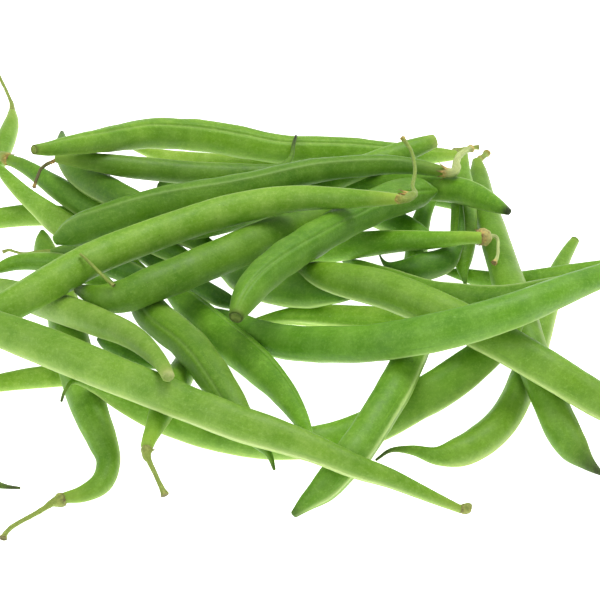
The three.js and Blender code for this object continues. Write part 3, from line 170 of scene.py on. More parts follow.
        [-87.18, 60.35, 2.49, 2.98, 2.50, -157], [-88.09, 54.22, 2.54, 3.00, 2.52, -154],
        [-89.46, 48.16, 2.48, 2.93, 2.46, -151], [-91.04, 42.47, 2.30, 2.74, 2.30, -149],
        [-92.74, 37.41, 1.99, 2.30, 1.93, -147], [-94.62, 33.26, 1.56, 1.51, 1.27, -144],
        [-96.19, 29.99, 1.05, 0.52, 0.44, -147],
    ],
    "pod_left_flat": [
        [-100.00, 20.53, 1.61, 0.59, 0.50, 128], [-96.59, 21.26, 1.96, 1.75, 1.47, 127],
        [-92.28, 21.90, 2.30, 2.50, 2.10, 127], [-87.26, 22.83, 2.58, 2.86, 2.41, 127],
        [-81.73, 23.97, 2.76, 3.03, 2.55, 127], [-75.85, 24.74, 2.83, 3.12, 2.62, 128],
        [-69.92, 24.76, 2.77, 3.06, 2.57, 128], [-64.30, 24.17, 2.62, 2.91, 2.45, 129],
        [-59.26, 23.34, 2.40, 2.67, 2.24, 129], [-54.96, 22.60, 2.14, 2.05, 1.72, 129],
        [-51.50, 22.09, 1.90, 0.89, 0.75, 129],
    ],
    "pod_hooked": [
        [-55.37, -91.89, 1.97, 1.40, 1.18, 135], [-50.63, -90.81, 2.33, 2.14, 1.79, 136],
        [-46.02, -87.95, 3.43, 2.84, 2.39, 150], [-44.57, -81.96, 4.85, 3.05, 2.56, 176],
        [-46.53, -75.39, 6.50, 3.80, 3.19, 194], [-49.42, -68.49, 8.20, 4.41, 3.71, 192],
        [-52.08, -60.89, 9.43, 4.82, 4.05, 190], [-54.41, -52.73, 10.04, 4.94, 4.15, 187],
        [-56.47, -44.26, 9.99, 5.00, 4.20, 186], [-58.53, -35.72, 9.43, 4.91, 4.12, 187],
        [-60.46, -27.26, 8.52, 4.76, 4.00, 186], [-62.31, -19.04, 7.33, 4.60, 3.86, 187],
        [-64.32, -11.26, 5.98, 4.38, 3.68, 191], [-66.38, -3.98, 4.70, 4.09, 3.44, 191],
        [-68.17, 2.78, 3.55, 3.71, 3.11, 188], [-69.59, 8.95, 2.55, 3.14, 2.63, 185],
        [-70.64, 14.45, 1.70, 2.18, 1.83, 182], [-71.39, 19.22, 0.95, 0.74, 0.62, 179],
    ],
    "pod_left_low": [
        [-82.13, -11.92, 10.96, 0.42, 0.35, 130], [-79.64, -10.76, 11.49, 1.56, 1.31, 131],
        [-76.43, -9.51, 12.06, 2.11, 1.77, 129], [-72.40, -9.20, 12.58, 2.42, 2.03, 128],
        [-67.95, -9.76, 12.99, 2.72, 2.28, 129], [-63.36, -10.90, 13.24, 3.07, 2.58, 132],
        [-59.08, -12.90, 13.32, 3.09, 2.59, 136], [-55.23, -15.26, 13.25, 2.99, 2.51, 137],
        [-51.75, -17.38, 13.06, 2.43, 2.04, 137], [-48.66, -19.00, 12.81, 1.50, 1.26, 137],
        [-46.27, -20.42, 12.53, 0.56, 0.47, 140],
    ],
    "pod_under_left": [
        [-66.17, -0.24, 8.80, 1.00, 0.84, 128], [-63.68, 0.23, 8.43, 1.86, 1.56, 129],
        [-60.52, 0.04, 8.07, 2.58, 2.17, 131], [-56.97, -1.07, 7.77, 3.02, 2.54, 134],
        [-53.23, -2.78, 7.51, 3.27, 2.75, 135], [-49.28, -4.55, 7.27, 3.39, 2.85, 134],
        [-45.35, -6.36, 7.02, 3.39, 2.84, 135], [-41.65, -8.17, 6.78, 3.07, 2.58, 135],
        [-38.23, -9.65, 6.57, 2.51, 2.11, 133], [-35.29, -10.88, 6.42, 1.68, 1.41, 134],
        [-33.03, -12.08, 6.34, 0.71, 0.59, 136],
    ],
    "pod_pale_left": [
        [-28.03, -80.29, 33.21, 1.62, 1.36, -168], [-29.12, -75.99, 31.73, 1.80, 1.51, -159],
        [-30.93, -70.98, 30.09, 2.09, 1.75, -153], [-33.47, -65.42, 28.27, 2.52, 2.12, -149],
        [-36.79, -59.44, 26.39, 3.00, 2.52, -144], [-41.22, -53.50, 24.47, 3.36, 2.82, -138],
        [-46.71, -47.98, 22.41, 3.67, 3.08, -135], [-52.44, -42.42, 20.31, 3.87, 3.25, -135],
        [-58.31, -37.02, 18.17, 3.92, 3.29, -133], [-63.99, -31.75, 15.97, 3.89, 3.27, -134],
        [-69.34, -26.72, 13.80, 3.69, 3.10, -133], [-74.17, -21.94, 11.77, 3.27, 2.75, -135],
        [-78.46, -17.57, 9.96, 2.61, 2.20, -134], [-82.30, -13.87, 8.37, 1.72, 1.44, -134],
        [-85.52, -10.73, 7.08, 0.57, 0.48, -135],
    ],
    "pod_floor_left": [
        [-92.90, -50.91, 0.71, 0.54, 0.45, 131], [-88.57, -50.69, 1.36, 1.60, 1.34, 131],
        [-83.17, -50.02, 1.95, 2.09, 1.76, 132], [-76.89, -48.88, 2.36, 2.40, 2.02, 132],
        [-69.96, -47.51, 2.58, 2.74, 2.30, 132], [-62.62, -46.46, 2.66, 2.96, 2.49, 132],
        [-55.22, -45.90, 2.67, 2.99, 2.51, 132], [-48.15, -45.92, 2.66, 2.86, 2.40, 132],
        [-41.78, -46.50, 2.68, 2.39, 2.01, 133], [-36.39, -47.38, 2.70, 1.71, 1.43, 133],
        [-32.10, -48.29, 2.71, 0.54, 0.46, 134],
    ],
    "pod_floor_long": [
        [-55.71, -77.90, 22.63, 0.32, 0.27, 164], [-55.41, -72.28, 20.98, 0.47, 0.40, 156],
        [-53.81, -66.09, 18.72, 0.81, 0.68, 133], [-47.87, -64.19, 15.40, 2.46, 2.07, 136],
        [-40.43, -66.65, 12.15, 3.37, 2.83, 139], [-32.19, -69.57, 9.28, 3.73, 3.13, 138],
        [-23.02, -71.95, 6.89, 3.86, 3.24, 136], [-13.12, -73.61, 5.14, 3.94, 3.31, 135],
        [-2.75, -74.44, 4.10, 4.06, 3.41, 134], [7.73, -73.53, 3.82, 4.24, 3.56, 135],
        [17.86, -70.96, 4.25, 4.63, 3.89, 136], [27.00, -66.67, 5.34, 4.94, 4.15, 142],
        [35.09, -61.40, 6.84, 5.14, 4.32, 141], [42.87, -56.90, 8.78, 5.30, 4.45, 142],
        [49.67, -52.30, 10.98, 5.08, 4.27, 145], [55.59, -47.98, 13.27, 4.38, 3.68, 145],
        [60.84, -44.34, 15.58, 2.93, 2.46, 145], [65.10, -40.96, 17.76, 0.54, 0.45, 150],
    ],
    "pod_centre_left": [
        [-41.92, -20.86, 12.31, 0.97, 0.92, 148], [-39.74, -24.83, 12.80, 2.94, 2.79, 154],
        [-37.42, -29.74, 13.49, 4.20, 3.99, 154], [-34.49, -35.25, 14.45, 4.81, 4.57, 148],
        [-30.68, -41.03, 15.59, 4.85, 4.61, 144], [-26.36, -47.14, 16.67, 4.81, 4.57, 147],
        [-22.43, -53.92, 17.55, 4.76, 4.52, 153], [-18.88, -61.07, 18.19, 4.66, 4.43, 156],
        [-15.54, -68.22, 18.50, 4.42, 4.20, 157], [-12.40, -75.09, 18.40, 3.95, 3.75, 159],
        [-9.32, -81.38, 17.97, 3.21, 3.05, 156], [-5.88, -86.62, 17.23, 2.12, 2.01, 152],
        [-2.80, -91.05, 16.32, 0.85, 0.80, 158], [-1.54, -95.33, 15.53, 0.37, 0.36, 180],
    ],
    "pod_centre_dark": [
        [-33.16, -14.13, 7.67, 1.55, 1.30, 145], [-30.01, -17.51, 7.28, 2.77, 2.33, 145],
        [-26.39, -21.83, 7.11, 3.91, 3.28, 147], [-22.60, -27.15, 7.16, 4.61, 3.87, 149],
        [-18.46, -33.11, 7.40, 4.98, 4.18, 146], [-13.67, -39.22, 7.76, 5.04, 4.24, 145],
        [-8.69, -45.53, 8.17, 4.87, 4.09, 146], [-4.15, -52.15, 8.57, 4.41, 3.71, 149],
        [-0.21, -58.85, 8.96, 3.79, 3.18, 152], [2.87, -65.41, 9.38, 3.05, 2.56, 157],
        [5.25, -71.47, 9.86, 2.18, 1.83, 157], [7.17, -76.74, 10.42, 1.19, 1.00, 159],
        [8.47, -81.15, 11.00, 0.51, 0.43, 163],
    ],
    "pod_right_upper": [
        [-21.47, -16.43, 1.13, 0.71, 0.59, 141], [-17.44, -20.96, 2.02, 2.38, 2.00, 138],
        [-12.87, -26.20, 3.47, 3.63, 3.05, 137], [-7.88, -32.15, 5.55, 4.34, 3.65, 134],
        [-1.99, -38.16, 8.39, 4.70, 3.95, 129], [5.00, -43.68, 12.03, 4.89, 4.11, 125],
        [12.79, -48.82, 16.21, 4.95, 4.16, 124], [21.13, -53.75, 20.68, 4.94, 4.15, 124],
        [30.48, -57.10, 25.24, 5.08, 4.27, 127], [40.68, -58.47, 29.18, 5.12, 4.30, 130],
        [51.22, -57.43, 31.78, 4.91, 4.13, 134], [61.16, -53.77, 32.79, 4.57, 3.84, 136],
        [69.94, -48.54, 32.67, 4.10, 3.44, 137], [77.84, -43.08, 31.97, 3.63, 3.05, 137],
        [85.00, -37.90, 31.05, 3.13, 2.63, 137], [91.42, -33.15, 30.14, 2.49, 2.10, 137],
        [97.13, -28.98, 29.39, 1.61, 1.35, 137], [102.13, -25.48, 28.87, 0.54, 0.46, 137],
    ],
    "pod_right_lower": [
        [4.85, -19.55, 18.48, 1.11, 0.93, 129], [8.63, -22.28, 19.44, 3.06, 2.57, 131],
        [13.01, -25.47, 20.44, 4.08, 3.42, 130], [18.30, -28.61, 21.46, 4.75, 3.99, 130],
        [24.36, -31.77, 22.36, 5.08, 4.26, 131], [30.69, -35.68, 23.00, 5.21, 4.38, 133],
        [37.18, -40.23, 23.29, 5.22, 4.38, 134], [44.04, -44.87, 23.13, 5.17, 4.35, 135],
        [51.17, -49.42, 22.45, 5.03, 4.22, 135], [58.33, -53.94, 21.20, 5.00, 4.20, 136],
        [65.40, -58.28, 19.39, 4.96, 4.17, 136], [72.33, -62.19, 17.12, 4.84, 4.07, 135],
        [79.06, -65.50, 14.52, 4.70, 3.95, 134], [85.47, -68.15, 11.77, 4.44, 3.73, 133],
        [91.44, -70.26, 9.03, 3.91, 3.28, 132], [96.83, -72.03, 6.44, 3.14, 2.64, 131],
        [101.60, -73.50, 4.10, 2.05, 1.72, 131], [105.73, -74.67, 2.07, 0.65, 0.55, 131],
    ],
    "pod_under_centre": [
        [18.91, -27.44, 14.50, 0.55, 0.46, -128], [15.80, -25.99, 13.72, 1.83, 1.53, -129],
        [12.08, -23.82, 12.84, 3.37, 2.83, -129], [7.70, -21.38, 11.70, 4.77, 4.00, -128],
        [3.02, -18.55, 10.21, 5.25, 4.41, -128], [-1.61, -15.24, 8.44, 5.32, 4.47, -127],
        [-5.85, -11.49, 6.59, 5.20, 4.36, -129], [-9.62, -7.61, 4.87, 4.88, 4.10, -129],
        [-13.28, -4.36, 3.33, 3.87, 3.25, -128], [-16.53, -1.65, 2.16, 1.94, 1.63, -131],
        [-19.09, 0.67, 1.46, 0.58, 0.49, -135],
    ],
    "pod_centre_flat": [
        [-8.76, -21.77, 1.03, 0.56, 0.47, 131], [-4.83, -21.33, 1.40, 1.40, 1.17, 131],
        [-0.01, -20.77, 1.90, 2.14, 1.80, 131], [5.63, -20.97, 2.58, 2.88, 2.42, 130],
        [11.73, -22.30, 3.41, 3.42, 2.87, 130], [18.10, -24.18, 4.36, 3.68, 3.09, 130],
        [24.60, -26.06, 5.40, 3.75, 3.15, 130], [30.93, -27.98, 6.45, 3.65, 3.06, 130],
        [37.01, -29.38, 7.42, 3.30, 2.77, 130], [42.59, -30.06, 8.24, 2.68, 2.25, 130],
        [47.43, -30.10, 8.85, 1.85, 1.55, 131], [51.36, -29.65, 9.24, 0.55, 0.46, 132],
    ],
    "pod_middle_right": [
        [55.20, -9.19, 21.03, 1.68, 1.41, -124], [51.59, -7.23, 19.54, 1.87, 1.57, -124],
        [46.93, -5.48, 17.71, 2.22, 1.86, -124], [41.51, -3.42, 15.67, 2.57, 2.16, -124],
        [35.50, -0.96, 13.53, 2.89, 2.43, -125], [28.85, 1.17, 11.29, 3.38, 2.84, -125],
        [21.79, 2.71, 9.04, 3.73, 3.13, -126], [14.57, 3.56, 6.90, 3.75, 3.15, -127],
        [7.51, 4.04, 5.01, 3.60, 3.02, -128], [0.85, 3.98, 3.45, 3.22, 2.71, -129],
        [-5.16, 3.37, 2.29, 2.59, 2.17, -130], [-10.34, 2.47, 1.52, 1.64, 1.37, -130],
        [-14.58, 1.51, 1.09, 0.58, 0.49, -130],
    ],
    "pod_under_right": [
        [14.34, 23.64, 8.18, 0.74, 0.62, 129], [16.92, 22.72, 8.14, 1.57, 1.32, 129],
        [20.07, 21.37, 8.19, 2.42, 2.04, 130], [23.59, 19.50, 8.36, 3.10, 2.60, 130],
        [27.29, 17.08, 8.62, 3.48, 2.93, 131], [30.94, 14.23, 8.94, 3.62, 3.04, 133],
        [34.40, 11.16, 9.26, 3.60, 3.02, 134], [37.57, 8.09, 9.53, 3.32, 2.79, 135],
        [40.40, 5.26, 9.73, 2.69, 2.26, 135], [42.93, 2.96, 9.83, 1.78, 1.49, 134],
        [45.02, 1.19, 9.86, 0.57, 0.48, 134],
    ],
    "pod_hooked_tip": [
        [27.58, 3.27, 6.41, 0.23, 0.19, 168], [28.01, -0.32, 6.99, 0.31, 0.26, 160],
        [29.72, -4.56, 7.52, 0.98, 0.82, 138], [34.18, -7.22, 8.41, 2.65, 2.23, 128],
        [39.97, -7.84, 9.53, 3.96, 3.33, 129], [45.81, -6.44, 10.83, 3.58, 3.00, 140],
        [49.51, -1.73, 12.29, 1.89, 1.59, 162], [51.10, 3.81, 13.64, 1.14, 0.96, 177],
        [51.47, 9.06, 14.68, 0.81, 0.68, 184], [51.66, 13.62, 15.24, 0.49, 0.41, 182],
        [52.11, 17.26, 15.48, 0.22, 0.18, 174],
    ],
    "pod_right_slim": [
        [17.52, 4.86, 1.53, 0.58, 0.49, 124], [19.93, 1.44, 3.24, 1.41, 1.18, 130],
        [22.71, -2.88, 4.96, 2.24, 1.88, 133], [26.36, -7.69, 6.61, 2.85, 2.39, 132],
        [31.08, -12.54, 8.20, 3.29, 2.76, 131], [36.48, -17.51, 9.71, 3.52, 2.96, 131],
        [42.61, -22.09, 11.29, 3.64, 3.06, 129], [49.37, -25.72, 13.30, 3.71, 3.12, 127],
        [55.98, -29.07, 15.80, 3.59, 3.02, 125], [62.36, -31.60, 18.76, 3.21, 2.70, 125],
        [68.36, -32.98, 22.00, 2.59, 2.18, 125], [73.75, -33.86, 25.05, 1.81, 1.52, 126],
        [78.55, -34.36, 27.52, 1.06, 0.89, 128], [82.74, -34.30, 29.21, 0.40, 0.34, 132],
    ],
    "pod_right_far": [
        [47.09, 0.27, 0.98, 0.72, 0.61, 129], [51.03, -1.27, 1.49, 1.72, 1.45, 129],
        [55.59, -3.90, 2.27, 2.27, 1.90, 129], [60.99, -6.72, 3.47, 2.56, 2.15, 128],
        [67.34, -8.68, 5.21, 2.56, 2.15, 127], [74.12, -9.80, 7.41, 2.55, 2.14, 128],
        [80.81, -11.00, 9.83, 2.49, 2.10, 127], [87.18, -12.15, 12.14, 2.32, 1.95, 128],
        [93.09, -12.65, 14.01, 1.93, 1.62, 130], [98.26, -12.37, 15.21, 1.27, 1.07, 132],
        [102.41, -11.58, 15.75, 0.56, 0.47, 133],
    ],
    "pod_dark_tip": [
        [-37.31, 35.25, 6.04, 1.35, 1.13, 134], [-32.93, 33.84, 4.95, 2.36, 1.98, 130],
        [-27.57, 33.09, 4.02, 3.00, 2.52, 128], [-21.40, 32.83, 3.36, 3.26, 2.74, 127],
        [-14.53, 32.82, 3.10, 3.39, 2.85, 127], [-7.09, 32.84, 3.32, 3.49, 2.93, 127],
        [0.78, 32.71, 4.07, 3.56, 2.99, 127], [8.91, 32.30, 5.37, 3.64, 3.06, 126],
        [17.13, 31.42, 7.16, 3.74, 3.14, 125], [25.20, 29.74, 9.36, 3.84, 3.23, 124],
        [32.82, 27.01, 11.81, 3.84, 3.23, 123], [39.77, 23.37, 14.37, 3.82, 3.21, 123],
        [46.00, 19.24, 16.92, 3.79, 3.18, 122], [51.39, 14.73, 19.35, 3.76, 3.16, 124],
        [55.44, 9.59, 21.43, 3.44, 2.89, 128], [58.60, 4.56, 23.25, 2.76, 2.32, 129],
        [61.14, -0.04, 24.85, 1.91, 1.60, 131], [63.26, -4.04, 26.27, 0.98, 0.82, 128],
    ],
    "pod_back_hidden": [
        [26.20, 43.44, 1.83, 0.76, 0.64, 128], [28.63, 42.01, 2.14, 1.51, 1.27, 128],
        [31.70, 40.27, 2.47, 2.20, 1.85, 128], [35.35, 38.35, 2.76, 2.64, 2.22, 128],
        [39.51, 36.46, 2.96, 2.95, 2.48, 128], [44.02, 34.82, 3.03, 3.09, 2.59, 128],
        [48.62, 33.43, 2.93, 3.15, 2.65, 128], [52.98, 32.08, 2.69, 2.99, 2.52, 129],
        [56.83, 30.59, 2.34, 2.49, 2.09, 130], [59.94, 28.95, 1.95, 1.69, 1.42, 132],
        [62.25, 27.35, 1.58, 0.75, 0.63, 134],
    ],
    "pod_right_hidden": [
        [46.19, 33.03, 6.64, 0.60, 0.50, -155], [44.21, 29.23, 6.11, 1.78, 1.50, -157],
        [42.10, 24.40, 5.41, 2.33, 1.96, -163], [40.39, 18.51, 4.63, 2.79, 2.35, -171],
        [39.26, 11.78, 3.89, 3.06, 2.57, -177], [38.48, 4.55, 3.28, 3.20, 2.69, -178],
        [37.60, -2.83, 2.87, 3.28, 2.75, -176], [36.48, -10.04, 2.61, 3.25, 2.73, -173],
        [35.17, -16.78, 2.44, 2.94, 2.47, -171], [33.89, -22.83, 2.23, 2.38, 2.00, -171],
        [32.81, -28.02, 1.92, 1.36, 1.14, -172], [32.04, -32.25, 1.46, 0.42, 0.35, -174],
    ],
    "pod_right_cross": [
        [58.49, 44.31, 8.40, 1.51, 1.27, 170], [58.65, 39.03, 7.85, 2.61, 2.19, 172],
        [58.76, 32.88, 7.65, 3.22, 2.70, 169], [59.18, 25.93, 7.80, 3.52, 2.96, 165],
        [59.86, 18.27, 8.24, 3.75, 3.15, 164], [60.63, 9.99, 8.91, 4.00, 3.36, 163],
        [61.48, 1.20, 9.73, 4.15, 3.48, 163], [62.35, -7.97, 10.56, 4.29, 3.60, 164],
        [63.22, -17.39, 11.30, 4.55, 3.83, 163], [64.39, -26.87, 11.78, 4.65, 3.91, 161],
        [65.73, -36.25, 11.74, 4.63, 3.89, 163], [67.03, -45.39, 11.07, 4.58, 3.85, 163],
        [68.69, -53.98, 9.69, 4.53, 3.81, 161], [70.82, -61.78, 7.67, 4.49, 3.78, 158],
        [73.24, -68.73, 5.40, 4.57, 3.84, 155], [76.18, -74.72, 3.43, 4.02, 3.37, 149],
        [79.72, -79.59, 2.13, 1.95, 1.64, 143], [83.32, -83.45, 1.65, 0.39, 0.33, 141],
    ],
    "pod_right_short": [
        [54.30, 41.25, 13.33, 1.05, 0.88, -172], [53.71, 37.61, 13.32, 1.73, 1.45, -178],
        [53.28, 33.03, 13.16, 2.28, 1.92, -182], [53.07, 27.67, 12.85, 2.93, 2.46, -185],
        [52.98, 21.76, 12.33, 3.48, 2.92, -185], [52.77, 15.57, 11.52, 3.80, 3.20, -183],
        [52.35, 9.46, 10.36, 3.88, 3.26, -181], [51.87, 3.73, 8.87, 3.56, 2.99, -180],
        [51.47, -1.35, 7.17, 2.80, 2.35, -182], [51.49, -5.61, 5.44, 1.36, 1.14, -189],
        [52.02, -8.92, 3.91, 0.43, 0.36, -196],
    ],
    "pod_long_tail": [
        [85.87, 15.09, 1.02, 1.33, 1.11, -158], [83.74, 10.58, 1.38, 1.72, 1.44, -160],
        [81.46, 5.26, 1.73, 2.08, 1.75, -164], [79.20, -0.89, 2.05, 2.50, 2.10, -168],
        [77.06, -7.81, 2.32, 2.89, 2.42, -171], [75.02, -15.39, 2.54, 3.15, 2.65, -173],
        [72.90, -23.46, 2.72, 3.35, 2.81, -172], [70.61, -31.86, 2.87, 3.52, 2.96, -172],
        [68.05, -40.41, 3.01, 3.70, 3.11, -169], [65.09, -48.91, 3.17, 3.76, 3.16, -168],
        [62.23, -57.37, 3.34, 3.94, 3.31, -166], [58.36, -65.15, 3.52, 4.17, 3.51, -155],
        [53.25, -71.73, 3.71, 4.31, 3.62, -147], [47.18, -76.67, 3.86, 3.99, 3.35, -141],
        [40.41, -78.56, 3.88, 2.41, 2.02, -134], [34.27, -76.28, 3.69, 1.31, 1.10, -134],
        [28.52, -75.87, 3.26, 0.60, 0.50, -136], [24.62, -78.85, 2.67, 0.32, 0.27, -146],
    ],
    "pod_front_cross": [
        [3.41, -99.92, 4.28, 1.01, 0.85, 148], [6.60, -97.87, 6.42, 2.28, 1.92, 142],
        [10.66, -95.48, 8.69, 3.54, 2.98, 145], [14.61, -91.49, 10.86, 4.21, 3.54, 153],
        [18.54, -86.39, 12.74, 4.54, 3.81, 154], [22.26, -80.38, 14.16, 4.60, 3.87, 158],
        [25.70, -73.73, 15.13, 4.64, 3.90, 158], [28.97, -66.83, 15.63, 4.68, 3.93, 160],
        [31.72, -59.81, 15.74, 4.64, 3.90, 163], [34.18, -53.02, 15.62, 4.44, 3.73, 162],
        [36.45, -46.72, 15.29, 4.01, 3.37, 162], [38.33, -41.00, 14.83, 3.23, 2.72, 164],
        [39.78, -36.00, 14.34, 2.04, 1.71, 166], [40.86, -31.80, 13.89, 0.68, 0.57, 168],
    ],
    "pod_front_short": [
        [-33.19, -92.97, 21.37, 1.62, 1.36, 166], [-32.73, -88.94, 20.39, 1.90, 1.60, 161],
        [-31.90, -84.07, 19.28, 2.38, 2.00, 159], [-30.90, -78.44, 17.99, 2.97, 2.49, 160],
        [-29.91, -72.20, 16.37, 3.44, 2.89, 159], [-28.79, -65.61, 14.37, 3.62, 3.04, 156],
        [-27.64, -58.86, 12.05, 3.68, 3.09, 156], [-26.58, -52.15, 9.58, 3.52, 2.96, 156],
        [-25.70, -45.66, 7.16, 3.21, 2.70, 159], [-24.99, -39.58, 4.92, 2.70, 2.27, 160],
        [-24.41, -34.07, 2.97, 2.06, 1.73, 162], [-23.89, -29.29, 1.40, 1.25, 1.05, 162],
        [-23.39, -25.33, 0.23, 0.42, 0.35, 161],
    ],
    "pod_floor_front": [
        [-67.22, -86.80, 0.40, 0.32, 0.27, -134], [-71.34, -86.73, 1.01, 0.71, 0.60, -138],
        [-76.31, -85.34, 1.77, 1.74, 1.46, -142], [-81.49, -82.21, 2.48, 2.80, 2.35, -148],
        [-86.55, -77.78, 2.96, 3.50, 2.94, -152], [-91.31, -72.54, 3.13, 3.66, 3.08, -155],
        [-95.46, -66.80, 3.00, 3.59, 3.01, -160], [-98.96, -61.04, 2.68, 3.24, 2.72, -163],
        [-101.84, -55.67, 2.27, 2.44, 2.05, -166], [-104.05, -50.96, 1.86, 1.40, 1.17, -169],
        [-105.67, -47.12, 1.52, 0.41, 0.34, -171],
    ],
    "pod_low_centre": [
        [-46.03, 10.16, 1.19, 0.59, 0.49, 129], [-43.25, 8.82, 1.61, 1.54, 1.29, 132],
        [-40.12, 6.53, 2.00, 2.25, 1.89, 137], [-36.80, 3.42, 2.31, 2.68, 2.25, 140],
        [-33.28, -0.18, 2.54, 2.88, 2.42, 141], [-29.46, -3.84, 2.65, 2.87, 2.41, 140],
        [-25.47, -7.31, 2.65, 2.86, 2.40, 139], [-21.53, -10.44, 2.51, 2.84, 2.39, 138],
        [-17.78, -13.03, 2.27, 2.61, 2.19, 137], [-14.37, -14.88, 1.95, 1.78, 1.50, 135],
        [-11.53, -16.13, 1.61, 0.57, 0.48, 134],
    ],
    "pod_low_left": [
        [-51.16, -30.60, 2.23, 0.55, 0.47, 141], [-49.85, -31.57, 2.22, 1.37, 1.15, 140],
        [-48.17, -32.72, 2.24, 1.99, 1.68, 138], [-46.18, -34.01, 2.30, 2.46, 2.07, 138],
        [-43.97, -35.43, 2.35, 2.66, 2.24, 138], [-41.65, -36.93, 2.39, 2.74, 2.30, 138],
        [-39.26, -38.31, 2.39, 2.65, 2.23, 137], [-36.94, -39.55, 2.34, 2.31, 1.94, 137],
        [-34.86, -40.70, 2.28, 1.70, 1.42, 138], [-33.10, -41.72, 2.22, 1.07, 0.90, 138],
        [-31.71, -42.57, 2.17, 0.55, 0.46, 139],
    ],
}

